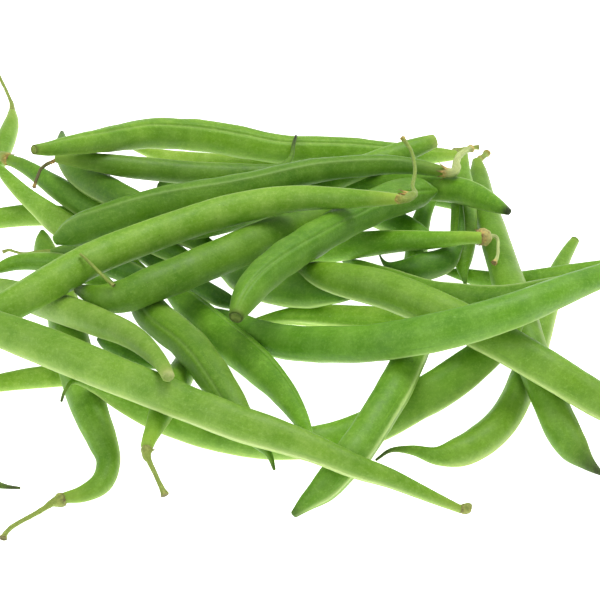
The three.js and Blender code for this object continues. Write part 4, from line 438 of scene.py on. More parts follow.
# name: (slot, seam angle in the section, seam kind, seam strength, seam paleness, keel, angle and strength of the
# painted pale glow on one flank (painted bounce light),
#        twist, start end, other end,
#        hue shift, light shift (the pod's lightness: partly its own tone, partly painted light and shade))
# seam kind: 1 a raised rib, -1 a groove, 2 a double rib on the edge.
STYLE = {
    "pod_front_long": ("pod_skin_light", 166, 2, 1.00, 1.40, 0.00, 178, 0.50, -50, "tail", "neck", 0.002, -0.16),
    "pod_top_long": ("pod_skin_light", 10, 1, 0.50, 0.60, 0.00, 178, 0.06, 8, "tail", "neck", 0.000, -0.04),
    "pod_top_left": ("pod_skin_mid", 174, 1, 0.40, 0.50, 0.00, 178, 0.10, 8, "ring", "tail", 0.000, -0.16),
    "pod_back_broad": ("pod_skin_mid", 55, 1, 0.80, 0.35, 0.05, 178, 0.00, 26, "plain", "neck", 0.004, -0.24),
    "pod_cut_end": ("pod_skin_mid", 80, -1, 0.80, 0.15, -0.01, 178, 0.15, 14, "cut", "plain", 0.006, -0.12),
    "pod_back_upper": ("pod_skin_mid", 55, -1, 1.00, 0.25, -0.02, 178, 0.30, 20, "cut", "neck", -0.004, 0.08),
    "pod_back_pale": ("pod_skin_pale", 150, 1, 0.80, 1.00, 0.00, 178, 0.60, 8, "tail", "tail", -0.002, -0.02),
    "pod_back_lower": ("pod_skin_mid", 10, 1, 0.70, 0.60, 0.00, 178, 0.20, 8, "neck", "thin", 0.000, -0.25),
    "pod_blunt_tip": ("pod_skin_mid", 180, 1, 0.70, 0.50, 0.00, 2, 0.20, 8, "open", "tail", 0.000, 0.00),
    "pod_left_dark": ("pod_skin_deep", 150, 1, 0.70, 1.00, 0.00, 178, 0.20, 8, "tail", "tail", 0.000, -0.28),
    "pod_left_middle": ("pod_skin_deep", 150, 1, 0.70, 1.00, 0.02, 178, 0.20, 8, "neck", "tail", 0.000, 0.00),
    "pod_left_lower": ("pod_skin_light", 162, 1, 1.00, 1.20, 0.00, 178, 0.55, 8, "tail", "tail", 0.000, 0.00),
    "pod_far_left": ("pod_skin_light", 0, 1, 0.70, 1.00, 0.00, 2, 0.50, 8, "neck", "tail", 0.000, -0.10),
    "pod_left_flat": ("pod_skin_light", 180, 1, 0.70, 1.00, 0.00, 178, 0.45, 8, "tail", "tail", 0.000, -0.10),
    "pod_hooked": ("pod_skin_mid", 0, 1, 0.70, 1.00, 0.00, 178, 0.50, 8, "neck", "tail", 0.000, -0.02),
    "pod_left_low": ("pod_skin_mid", 20, 1, 0.70, 1.00, 0.00, 178, 0.20, 8, "tail", "tail", 0.000, 0.00),
    "pod_under_left": ("pod_skin_dark", 30, 1, 0.70, 1.00, 0.00, 178, 0.20, 8, "neck", "tail", 0.000, 0.00),
    "pod_pale_left": ("pod_skin_pale", 10, 1, 0.80, 1.00, 0.00, 2, 0.30, 8, "open", "tail", 0.010, -0.24),
    "pod_floor_left": ("pod_skin_light", 0, 1, 0.70, 1.00, 0.00, 178, 0.45, 8, "tail", "tail", -0.008, 0.06),
    "pod_floor_long": ("pod_skin_mid", 160, 1, 0.80, 1.00, 0.00, 178, 0.50, 8, "thin", "tail", 0.000, 0.10),
    "pod_centre_left": ("pod_skin_mid", 110, -1, 0.70, 0.30, 0.00, 2, 0.12, 8, "tail", "tail", 0.000, -0.20),
    "pod_centre_dark": ("pod_skin_deep", 30, -1, 0.60, 0.25, 0.00, 178, 0.08, 8, "tail", "tail", -0.004, 0.22),
    "pod_right_upper": ("pod_skin_mid", 160, 1, 0.80, 1.00, 0.00, 178, 0.28, 8, "tail", "tail", 0.010, -0.04),
    "pod_right_lower": ("pod_skin_mid", 156, 2, 1.00, 1.40, 0.00, 178, 0.28, 10, "tail", "tail", -0.004, -0.03),
    "pod_under_centre": ("pod_skin_deep", 20, 1, 1.00, 1.50, 0.00, 2, 0.45, -6, "tail", "tail", 0.000, 0.10),
    "pod_centre_flat": ("pod_skin_mid", 128, 1, 1.00, 1.30, 0.00, 178, 0.70, -10, "tail", "tail", -0.010, 0.28),
    "pod_middle_right": ("pod_skin_mid", 180, 1, 0.70, 1.00, 0.00, 2, 0.18, 8, "neck", "tail", 0.000, 0.24),
    "pod_under_right": ("pod_skin_deep", 165, 1, 0.80, 1.00, 0.00, 178, 0.62, 8, "tail", "tail", 0.002, 0.12),
    "pod_hooked_tip": ("pod_skin_dark", 170, 1, 0.70, 1.00, 0.00, 178, 0.20, 8, "thin", "tail", 0.000, 0.00),
    "pod_right_slim": ("pod_skin_mid", 20, 1, 0.70, 1.00, 0.00, 178, 0.25, 8, "tail", "tail", 0.000, -0.10),
    "pod_right_far": ("pod_skin_mid", 180, 1, 0.70, 1.00, 0.00, 178, 0.20, 8, "tail", "tail", 0.000, 0.00),
    "pod_dark_tip": ("pod_skin_deep", -170, 1, 0.70, 0.40, 0.00, 178, 0.20, 8, "tail", "dark", -0.004, 0.18),
    "pod_back_hidden": ("pod_skin_deep", 180, 1, 0.70, 1.00, 0.00, 178, 0.20, 8, "tail", "tail", 0.000, 0.00),
    "pod_right_hidden": ("pod_skin_deep", 0, 1, 0.80, 1.00, 0.00, 2, 0.35, 8, "tail", "tail", 0.000, 0.00),
    "pod_right_cross": ("pod_skin_mid", 180, 1, 0.70, 0.40, 0.00, 2, 0.30, 8, "neck", "thin", 0.000, -0.10),
    "pod_right_short": ("pod_skin_mid", 170, 1, 0.70, 0.50, 0.02, 2, 0.20, 8, "neck", "tail", 0.000, 0.02),
    "pod_long_tail": ("pod_skin_mid", 180, 1, 0.70, 1.00, 0.00, 2, 0.65, 8, "cut", "thin", -0.004, -0.02),
    "pod_front_cross": ("pod_skin_mid", 138, 1, 1.00, 1.30, 0.00, 178, 0.35, 8, "tail", "tail", 0.004, -0.03),
    "pod_front_short": ("pod_skin_mid", 180, 1, 0.70, 1.00, 0.00, 178, 0.45, 8, "neck", "tail", 0.000, 0.00),
    "pod_floor_front": ("pod_skin_mid", 180, 1, 0.70, 1.00, 0.00, 178, 0.30, 8, "thin", "tail", -0.008, -0.10),
    "pod_low_centre": ("pod_skin_dark", 150, 1, 0.70, 1.00, 0.00, 178, 0.20, 8, "tail", "tail", 0.000, 0.00),
    "pod_low_left": ("pod_skin_deep", 30, 1, 0.70, 1.00, 0.00, 178, 0.20, 8, "tail", "tail", 0.000, 0.00),
}

STEMS = {
    "stem_top_long": [
        [33.63, -13.33, 37.81, 1.23, 1.23, 157], [35.11, -11.19, 37.20, 1.59, 1.59, 128],
        [36.46, -8.41, 36.06, 0.99, 0.99, 200], [36.04, -3.84, 35.12, 0.63, 0.63, 177],
        [36.73, 0.49, 34.68, 0.60, 0.60, 174], [37.15, 4.98, 34.42, 0.59, 0.59, 183],
        [37.00, 9.36, 34.34, 0.59, 0.59, 192], [36.49, 13.33, 34.46, 0.60, 0.60, 200],
        [35.35, 16.53, 34.75, 0.63, 0.63, 209], [34.14, 18.90, 35.15, 0.78, 0.78, 215],
    ],
    "stem_back_broad": [
        [47.73, 17.70, 23.69, 1.35, 1.35, 125], [49.35, 17.30, 24.17, 1.43, 1.43, 140],
        [50.03, 19.51, 24.45, 0.93, 0.93, 181], [50.28, 22.14, 24.55, 0.68, 0.68, 173],
        [51.12, 24.81, 24.45, 0.61, 0.61, 156], [52.43, 27.11, 24.17, 0.58, 0.58, 140],
        [53.82, 28.88, 23.76, 0.61, 0.61, 132], [55.01, 30.08, 23.35, 0.67, 0.67, 127],
    ],
    "stem_back_upper": [
        [53.31, 58.84, 1.35, 1.35, 1.35, 128], [54.37, 59.58, 1.11, 1.10, 1.10, 128],
        [55.85, 60.56, 0.86, 0.84, 0.84, 130], [57.61, 61.47, 0.72, 0.69, 0.69, 128],
        [59.35, 61.87, 0.73, 0.70, 0.70, 127], [60.66, 61.89, 0.85, 0.75, 0.75, 126],
    ],
    "stem_back_lower": [
        [-66.40, 20.15, 26.01, 0.52, 0.52, -124], [-67.99, 19.82, 25.40, 0.44, 0.44, -128],
        [-69.76, 18.51, 24.58, 0.40, 0.40, -144], [-70.59, 16.17, 23.79, 0.39, 0.39, -158],
        [-71.11, 13.96, 23.11, 0.40, 0.40, -160], [-71.42, 12.32, 22.62, 0.43, 0.43, -162],
    ],
    "stem_left_middle": [
        [-84.05, 46.10, 7.81, 1.96, 1.96, -133], [-84.75, 46.89, 7.55, 1.90, 1.90, -135],
        [-85.69, 47.99, 7.23, 1.65, 1.65, -136], [-86.73, 49.20, 6.90, 1.09, 1.09, -136],
        [-87.71, 50.28, 6.62, 0.64, 0.64, -136], [-88.43, 51.07, 6.43, 0.46, 0.46, -136],
    ],
    "stem_far_left": [
        [-86.80, 80.73, 1.45, 0.97, 0.97, 174], [-87.01, 82.75, 1.26, 0.82, 0.82, 176],
        [-87.47, 85.29, 1.04, 0.67, 0.67, 188], [-88.34, 88.19, 0.82, 0.54, 0.54, 193],
        [-89.36, 91.35, 0.65, 0.50, 0.50, 194], [-90.53, 94.57, 0.54, 0.49, 0.49, 196],
        [-91.73, 97.67, 0.50, 0.49, 0.49, 198], [-92.84, 100.50, 0.54, 0.49, 0.49, 195],
        [-93.68, 102.94, 0.64, 0.51, 0.51, 191], [-94.30, 104.89, 0.75, 0.56, 0.56, 190],
    ],
    "stem_middle_right": [
        [59.68, -6.30, 19.27, 0.57, 0.57, 127], [60.45, -7.57, 18.85, 0.45, 0.45, 172],
        [60.32, -9.97, 18.51, 0.45, 0.45, 176], [60.15, -12.53, 18.17, 0.45, 0.45, 179],
        [59.53, -14.77, 17.93, 0.49, 0.49, 198], [58.80, -16.32, 17.80, 0.56, 0.56, 200],
    ],
    "stem_hooked": [
        [-56.62, -92.52, 1.61, 1.59, 1.59, -135], [-58.48, -93.12, 1.28, 0.90, 0.90, -139],
        [-60.46, -94.83, 0.97, 0.67, 0.67, -142], [-62.88, -96.70, 0.72, 0.61, 0.61, -139],
        [-65.45, -98.64, 0.60, 0.58, 0.58, -140], [-67.74, -100.70, 0.63, 0.58, 0.58, -141],
        [-69.10, -102.92, 0.74, 0.59, 0.59, -152], [-69.60, -104.86, 0.86, 0.63, 0.63, -158],
    ],
    "stem_front_short": [
        [-33.21, -95.18, 20.32, 1.12, 1.12, 165], [-32.46, -96.70, 19.63, 0.71, 0.71, 164],
        [-31.39, -98.76, 18.66, 0.60, 0.60, 164], [-30.22, -101.02, 17.57, 0.62, 0.62, 164],
        [-29.15, -103.06, 16.57, 0.70, 0.70, 164], [-28.37, -104.54, 15.82, 0.81, 0.81, 163],
    ],
    "stem_right_cross": [
        [59.68, 46.08, 7.95, 1.01, 1.01, 142], [60.07, 46.74, 7.80, 0.92, 0.92, 144],
        [60.58, 47.65, 7.60, 0.84, 0.84, 144], [61.14, 48.66, 7.37, 0.84, 0.84, 144],
        [61.64, 49.58, 7.17, 0.87, 0.87, 145], [62.01, 50.25, 7.02, 0.92, 0.92, 145],
    ],
    "stem_under_left": [
        [-67.71, 0.36, 8.49, 0.68, 0.68, -127], [-69.56, 0.90, 8.08, 0.50, 0.50, -127],
        [-72.10, 1.13, 7.44, 0.44, 0.44, -126], [-74.95, 1.74, 6.66, 0.40, 0.40, -126],
        [-77.37, 3.39, 5.95, 0.40, 0.40, -134], [-79.41, 4.97, 5.32, 0.43, 0.43, -127],
        [-81.14, 4.90, 4.67, 0.49, 0.49, -137],
    ],
    "stem_loose": [
        [-54.28, -29.36, 31.50, 0.35, 0.35, 141], [-52.95, -30.25, 30.85, 0.39, 0.39, 145],
        [-51.33, -31.70, 30.06, 0.43, 0.43, 148], [-49.51, -33.45, 29.24, 0.43, 0.43, 148],
        [-47.73, -35.28, 28.52, 0.43, 0.43, 149], [-46.09, -36.81, 27.94, 0.44, 0.44, 145],
        [-44.79, -37.87, 27.55, 0.48, 0.48, 143],
    ],
    "stem_front_long": [
        [46.97, -94.92, 1.07, 1.05, 1.05, 0], [47.47, -94.89, 1.32, 1.30, 1.30, 0],
        [48.07, -94.85, 1.17, 1.15, 1.15, 0], [48.67, -94.82, 0.87, 0.80, 0.80, 0],
        [49.37, -94.78, 0.87, 0.72, 0.72, 0], [50.07, -94.74, 0.87, 0.85, 0.85, 0],
    ],
}

# name: (pod or None, which end of it, sepals, sepal length mm, colour key,
#        collar radius mm, its place, girth of the stalk, flare at the broken end, share of the length kept)
STEM_STYLE = {
    "stem_top_long": ("pod_top_long", 1, 6, 1.7, "yellow", 1.35, 1.3, 0.85, 0.15, 1.00),
    "stem_back_broad": ("pod_back_broad", 1, 7, 2.2, "pale", 1.35, 1.4, 1.50, 0.30, 1.00),
    "stem_back_upper": ("pod_back_upper", 1, 3, 1.0, "olive", 0.00, 1.0, 0.90, 0.15, 1.00),
    "stem_back_lower": ("pod_back_lower", 0, 4, 1.4, "brown", 0.00, 1.0, 1.20, 0.10, 1.00),
    "stem_left_middle": ("pod_left_middle", 0, 4, 1.6, "yellow", 0.00, 1.0, 1.00, 0.10, 1.00),
    "stem_far_left": ("pod_far_left", 0, 3, 1.2, "olive", 0.00, 1.0, 1.00, 0.10, 1.00),
    "stem_middle_right": ("pod_middle_right", 0, 12, 1.6, "pale", 2.40, 1.9, 1.00, 0.35, 1.00),
    "stem_hooked": ("pod_hooked", 0, 5, 0.9, "olive", 1.80, 1.5, 1.00, 0.35, 1.00),
    "stem_front_short": ("pod_front_short", 0, 5, 0.9, "olive", 1.50, 1.3, 0.95, 0.35, 1.00),
    "stem_right_cross": ("pod_right_cross", 0, 3, 1.2, "yellow", 0.00, 1.0, 1.00, 0.30, 1.00),
    "stem_under_left": ("pod_under_left", 0, 0, 0.0, "olive", 0.00, 1.0, 1.00, 0.10, 1.00),
    "stem_loose": (None, 0, 0, 0.0, "olive", 0.00, 1.0, 1.00, 0.10, 1.00),
    "stem_front_long": ("pod_front_long", 1, 5, 0.8, "olive", 1.35, 1.2, 1.00, 0.20, 0.66),
}

CAMERA_AT = (4.88, -469.44, 385.67)
LOOK_AT = (4.88, -9.81, 0.0)
LENS_MM = 126.0


# ---------------------------------------------------------------- curves
def centripetal(points, per):
    """Centripetal Catmull-Rom through the rows, and the row number of every sample."""
    p = np.array(points, float)
    ext = np.vstack([2 * p[0] - p[1], p, 2 * p[-1] - p[-2]])
    out, row = [], []
    for i in range(len(p) - 1):
        p0, p1, p2, p3 = ext[i:i + 4]
        d0 = max(np.linalg.norm(p1 - p0) ** 0.5, 1e-4)
        d1 = max(np.linalg.norm(p2 - p1) ** 0.5, 1e-4)
        d2 = max(np.linalg.norm(p3 - p2) ** 0.5, 1e-4)
        t1 = ((p1 - p0) / d0 - (p2 - p0) / (d0 + d1) + (p2 - p1) / d1) * d1
        t2 = ((p2 - p1) / d1 - (p3 - p1) / (d1 + d2) + (p3 - p2) / d2) * d1
        n = per[i]
        for k in range(n):
            t = k / n
            c2 = -3 * p1 + 3 * p2 - 2 * t1 - t2
            c3 = 2 * p1 - 2 * p2 + t1 + t2
            out.append(p1 + t1 * t + c2 * t * t + c3 * t ** 3)
            row.append(i + t)
    out.append(p[-1])
    row.append(len(p) - 1.0)
    return np.array(out), np.array(row)


def monotone(x, y, xs):
    """Monotone cubic through (x, y), read at xs."""
    x, y = np.array(x, float), np.array(y, float)
    h = np.diff(x)
    d = np.diff(y) / h
    m = np.zeros(len(x))
    m[0], m[-1] = d[0], d[-1]
    for i in range(1, len(x) - 1):
        if d[i - 1] * d[i] > 0:
            w1, w2 = 2 * h[i] + h[i - 1], h[i] + 2 * h[i - 1]
            m[i] = (w1 + w2) / (w1 / d[i - 1] + w2 / d[i])
    k = np.clip(np.searchsorted(x, xs) - 1, 0, len(x) - 2)
    t = (xs - x[k]) / h[k]
    return ((2 * t ** 3 - 3 * t ** 2 + 1) * y[k] + (t ** 3 - 2 * t ** 2 + t) * h[k] * m[k]
            + (-2 * t ** 3 + 3 * t ** 2) * y[k + 1] + (t ** 3 - t ** 2) * h[k] * m[k + 1])


def lengths(c):
    return np.r_[0, np.cumsum(np.linalg.norm(np.diff(c, axis=0), axis=1))]


def sweep_frame(c, roll):
    t = np.gradient(c, axis=0)
    t /= np.linalg.norm(t, axis=1)[:, None]
    up = np.array([0, 0, 1.0])
    level = np.cross(t, up)
    level /= np.maximum(np.linalg.norm(level, axis=1), 1e-6)[:, None]
    rise = np.cross(level, t)
    r = np.radians(roll)[:, None]
    wide = level * np.cos(r) + rise * np.sin(r)
    return t, wide, np.cross(t, wide)


def sampled(rows, step):
    rows = np.array(rows, float)
    gaps = np.linalg.norm(np.diff(rows[:, :3], axis=0), axis=1)
    per = [max(2, int(math.ceil(g / step))) for g in gaps]
    c, at = centripetal(rows[:, :3], per)
    n = np.arange(len(rows), dtype=float)
    a = monotone(n, rows[:, 3], at)
    b = monotone(n, rows[:, 4], at)
    roll = monotone(n, rows[:, 5], at)
    return c, a, b, roll


def mesh_object(name, verts, faces, attrs, material):
    me = bpy.data.meshes.new(name)
    me.from_pydata([tuple(v) for v in verts], [], faces)
    for key, values in attrs.items():
        at = me.attributes.new(key, "FLOAT", "POINT")
        at.data.foreach_set("value", np.asarray(values, np.float32))
    me.polygons.foreach_set("use_smooth", [True] * len(me.polygons))
    me.materials.append(material)
    me.update()
    ob = bpy.data.objects.new(name, me)
    bpy.context.scene.collection.objects.link(ob)
    return ob


def bell(x, w):
    return np.exp(-(x / w) ** 2)


def ease(x, lo, hi):
    t = np.clip((x - lo) / (hi - lo), 0, 1)
    return t * t * (3 - 2 * t)


def wrapped(d):
    return (d + 180.0) % 360.0 - 180.0


# ---------------------------------------------------------------- a pod
RIB = [-24, -17, -12, -8.5, -6, -4, -2, 0, 2, 4, 6, 8.5, 12, 17, 24]
REST = list(np.linspace(34, 146, 12))


def ring_angles():
    """Angles from the main seam, close together at both seams."""
    a = [float(x) for x in RIB] + REST + [180.0 + x for x in RIB] + [180.0 + x for x in REST]
    return np.array(a)


def pod(name, rows, style, seed):
    slot, seam, kind, strong, paleness, drawn, painted_glow_at, painted_glow, twist, start, end, hue, light = style
    rnd = random.Random(seed)
    c, a, b, roll = sampled(rows, 1.25)
    s = lengths(c)
    total = s[-1]
    n = len(c)
    phi0 = ring_angles()
    sides = len(phi0)
    # slow turn of the seams along the pod
    turn = seam + twist * (s / total - 0.5) + 6 * np.sin(s / 23.0 + rnd.uniform(0, 6))
    off = Vector((rnd.uniform(-9, 9), rnd.uniform(-9, 9), rnd.uniform(-9, 9)))
    t, wide, thick = sweep_frame(c, roll)
    body = np.minimum(a, b)
    plump = ease(body, 1.3, 3.2)          # 0 on the thin ends, 1 on the body
    # seeds, unevenly spaced and of uneven size
    where, x = [], 9.0 + rnd.uniform(0, 5)
    while x < total - 9:
        where.append((x, rnd.uniform(0.55, 1.0), rnd.uniform(-0.35, 0.35)))
        x += rnd.uniform(9.0, 14.5)
    bulge = np.zeros(n)
    dip = np.zeros(n)
    for x, h, sk in where:
        bulge += h * bell(s - x, 3.6)
        dip += h * bell(s - x, 5.6)
    bulge = bulge * plump
    verts, A = [], {k: [] for k in ("along", "seam", "tail", "neck", "cut", "lump", "arc", "side", "rim", "open", "painted_glow")}
    dphi = phi0
    main = np.abs(wrapped(dphi))
    other = np.abs(wrapped(dphi - 180))
    face = np.abs(np.sin(np.radians(dphi))) ** 1.3
    tail_s = np.zeros(n)
    neck_s = np.zeros(n)
    cut_s = np.zeros(n)
    for which, kind_of_end in ((0, start), (1, end)):
        d = s if which == 0 else total - s
        if kind_of_end in ("tail", "dark", "thin"):
            reach, deep, haze = {"tail": (1.9, 0.50, 0.10), "dark": (1.7, 0.97, 0.20), "thin": (7.5, 0.90, 0.10)}[kind_of_end]
            tail_s = np.maximum(tail_s, bell(d, reach) * deep + haze * bell(d, 3.0 + reach))
        if kind_of_end in ("neck",):
            neck_s = np.maximum(neck_s, bell(d, 7.5))
        if kind_of_end in ("cut", "ring", "open"):
            cut_s = np.maximum(cut_s, bell(d, 1.3 if kind_of_end == "open" else 0.8) * 0.8)
            neck_s = np.maximum(neck_s, bell(d, 4.0) * (0.5 if kind_of_end != "open" else 0.9))
    for i in range(n):
        ph = np.radians(turn[i] + dphi)
        ca, sa = np.cos(ph), np.sin(ph)
        # section: an oval, a little drawn out at the seams
        keel = 1 + ((0.025 * strong + drawn) * bell(main, 24) + 0.015 * bell(other, 24) - 0.014 - 0.4 * drawn) * plump[i]
        nx, ny = b[i] * ca, a[i] * sa
        ln = np.hypot(nx, ny)
        nx, ny = nx / ln, ny / ln
        r = (a[i] + b[i]) / 2
        mm_main = np.radians(main) * r     # distance from the seam over the skin, mm
        mm_other = np.radians(other) * r
        h = 0.30 * bulge[i] * face * (r / 4.6)
        h = h - 0.05 * plump[i] * face
        if kind == 1:
            h = h + strong * plump[i] * (0.20 * bell(mm_main, 0.42) - 0.07 * bell(mm_main - 1.1, 0.5))
        elif kind == 2:
            h = h + strong * plump[i] * (0.17 * bell(mm_main - 0.50, 0.30) + 0.03 * bell(mm_main, 0.2) - 0.06 * bell(mm_main - 1.4, 0.5))
        else:
            h = h + strong * plump[i] * (-0.26 * bell(mm_main, 0.42) + 0.10 * bell(mm_main - 0.95, 0.42))
        h = h + plump[i] * (0.11 * bell(mm_other, 0.45) - 0.05 * bell(mm_other - 1.1, 0.5))
        px = a[i] * keel * ca + h * nx
        py = b[i] * keel * sa + h * ny
        ring = c[i][None, :] + wide[i][None, :] * px[:, None] + thick[i][None, :] * py[:, None]
        for k in range(sides):
            q = Vector(ring[k] / 13.0) + off
            wob = noise.noise(q) * 0.16 * plump[i] + noise.noise(q * 4.1) * 0.05 * (0.4 + 0.6 * plump[i])
            wob += noise.noise(q * 11.0) * 0.016
            dirn = wide[i] * nx[k] + thick[i] * ny[k]
            v = ring[k] + dirn * wob
            verts.append((v[0] * MM, v[1] * MM, max(v[2], 0.02) * MM))
        A["along"].append(np.full(sides, s[i]))
        A["arc"].append(np.radians(dphi) * r)
        A["side"].append(np.cos(np.radians(dphi)))
        wide_mark = {1: 0.50, 2: 0.85, -1: 0.40}[kind]
        seam_mark = np.maximum(bell(mm_main, wide_mark) * strong * paleness, 0.45 * bell(mm_other, 0.42)) * (0.35 + 0.65 * plump[i])
        A["seam"].append(np.minimum(seam_mark, 1.0))
        A["tail"].append(np.full(sides, tail_s[i]))
        A["neck"].append(np.full(sides, neck_s[i]))
        A["cut"].append(np.full(sides, cut_s[i]))
        A["lump"].append(bulge[i] * face)
        # painted light: a pale band on one flank, standing in for floor bounce light shining through the skin
        A["painted_glow"].append(painted_glow * bell(wrapped(turn[i] + dphi - painted_glow_at), 38) * (0.4 + 0.6 * plump[i]))
        A["rim"].append(np.full(sides, min(1.0, cut_s[i] * 1.2)))
        A["open"].append(np.full(sides, 1.0 if (start if i < n / 2 else end) == "open" else 0.0))
    faces = []
    for i in range(n - 1):
        for k in range(sides):
            k2 = (k + 1) % sides
            faces.append((i * sides + k, i * sides + k2, (i + 1) * sides + k2, (i + 1) * sides + k))

    def close(i, sign, kind_of_end):
        """Rings that close one end. sign is -1 at the start and 1 at the far end."""
        base = np.array(verts[i * sides:(i + 1) * sides]) / MM
        mid = c[i]
        r = min(a[i], b[i])
        if kind_of_end in ("cut", "ring", "open"):
            steps = [(0.985, 0.10, 0.8), (0.93, 0.22, 1.0), (0.82, 0.20, 1.0), (0.66, 0.02, 1.0), (0.40, -0.10, 0.85), (0.16, -0.05, 0.85)]
            steps = [(k, o * max(0.6, r / 2.2), m) for k, o, m in steps]
            tip_o, tip_m = 0.02, 0.85
        else:
            cap = 0.62 * r
            steps = [(math.cos(w), cap * math.sin(w), 0.0) for w in (0.35, 0.7, 1.02, 1.28)]
            tip_o, tip_m = cap, 0.0
        prev = i * sides
        for kf, o, m in steps:
            first = len(verts)
            for k in range(sides):
                v = mid + (base[k] - mid) * kf + t[i] * sign * o
                jag = 0.0
                if m and kf < 0.95:
                    jag = noise.noise(Vector(v / 0.9) + off) * 0.10 * min(1, r / 2)
                v = v + t[i] * sign * jag
                verts.append((v[0] * MM, v[1] * MM, max(v[2], 0.02) * MM))
            A["along"].append(np.full(sides, s[i] + sign * o))
            A["arc"].append(np.radians(dphi) * r * kf)
            A["side"].append(np.cos(np.radians(dphi)))
            A["seam"].append(np.full(sides, 0.0))
            A["tail"].append(np.full(sides, tail_s[i]))
            A["neck"].append(np.full(sides, neck_s[i]))
            A["cut"].append(np.full(sides, max(m, cut_s[i] if m else 0)))
            A["lump"].append(np.zeros(sides))
            A["painted_glow"].append(np.zeros(sides))
            A["rim"].append(np.full(sides, 1.0 if kf > 0.75 else 0.15))
            A["open"].append(np.full(sides, 1.0 if kind_of_end == "open" else 0.0))
            for k in range(sides):
                k2 = (k + 1) % sides
                f = (prev + k, prev + k2, first + k2, first + k)
                faces.append(f if sign > 0 else f[::-1])
            prev = first
        tip = mid + t[i] * sign * tip_o
        verts.append((tip[0] * MM, tip[1] * MM, max(tip[2], 0.02) * MM))
        for key, value in (("along", s[i] + sign * tip_o), ("arc", 0), ("side", 0), ("seam", 0), ("tail", tail_s[i]),
                           ("neck", neck_s[i]), ("cut", tip_m), ("lump", 0), ("painted_glow", 0), ("rim", 0.1), ("open", 1.0 if kind_of_end == "open" else 0.0)):
            A[key].append(np.array([float(value)]))
        for k in range(sides):
            k2 = (k + 1) % sides
            f = (prev + k, prev + k2, len(verts) - 1)
            faces.append(f if sign > 0 else f[::-1])

    close(0, -1, start)
    close(n - 1, 1, end)
    attrs = {k: np.concatenate(v) for k, v in A.items()}
    count = len(verts)
    attrs["hue"] = np.full(count, hue)
    # per-pod lightness: partly the pod's own tone, partly painted light and shade
    attrs["light"] = np.full(count, light)
    attrs["pick"] = np.full(count, rnd.uniform(0, 50))
    ob = mesh_object("bean_" + name[4:], verts, faces, attrs, POD_MATERIALS[slot])
    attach(ob, "root")
    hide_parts(name)
    return ob


# ---------------------------------------------------------------- a stem
def blade(base, out, forward, across, length, width, lift, curl, verts, faces, marks, mark):
    """A thin pointed sepal: a closed strip that starts at base and runs along forward, curling outward."""
    n, w = 7, 5
    top, bot = [], []
    for i in range(n):
        u = i / (n - 1)
        half = width / 2 * (1 - u) ** 0.75 * (0.85 + 0.4 * math.sin(math.pi * min(1, u * 1.3)))
        p = base + forward * length * u + out * (lift * u + curl * u * u * length)
        for side, lst in ((1, top), (-1, bot)):
            row = []
            for k in range(w):
                v = (k / (w - 1)) * 2 - 1
                thin = 0.07 * (1 - 0.6 * u) * (1 - 0.5 * v * v)
                q = p + across * (half * v) + out * (side * thin - 0.16 * half * v * v)
                row.append(len(verts))
                verts.append((q[0] * MM, q[1] * MM, max(q[2], 0.02) * MM))
                marks["mark"].append(mark + 0.4 * u)
                marks["len"].append(u * length)
                marks["seed"].append(v * half)
            lst.append(row)
    for i in range(n - 1):
        for k in range(w - 1):
            faces.append((top[i][k], top[i][k + 1], top[i + 1][k + 1], top[i + 1][k]))
            faces.append((bot[i][k], bot[i + 1][k], bot[i + 1][k + 1], bot[i][k + 1]))
        faces.append((top[i][0], top[i + 1][0], bot[i + 1][0], bot[i][0]))
        faces.append((top[i][-1], bot[i][-1], bot[i + 1][-1], top[i + 1][-1]))
    faces.append(tuple(top[0][k] for k in range(w - 1, -1, -1)) + tuple(bot[0][k] for k in range(w)))
    faces.append(tuple(top[-1][k] for k in range(w)) + tuple(bot[-1][k] for k in range(w - 1, -1, -1)))


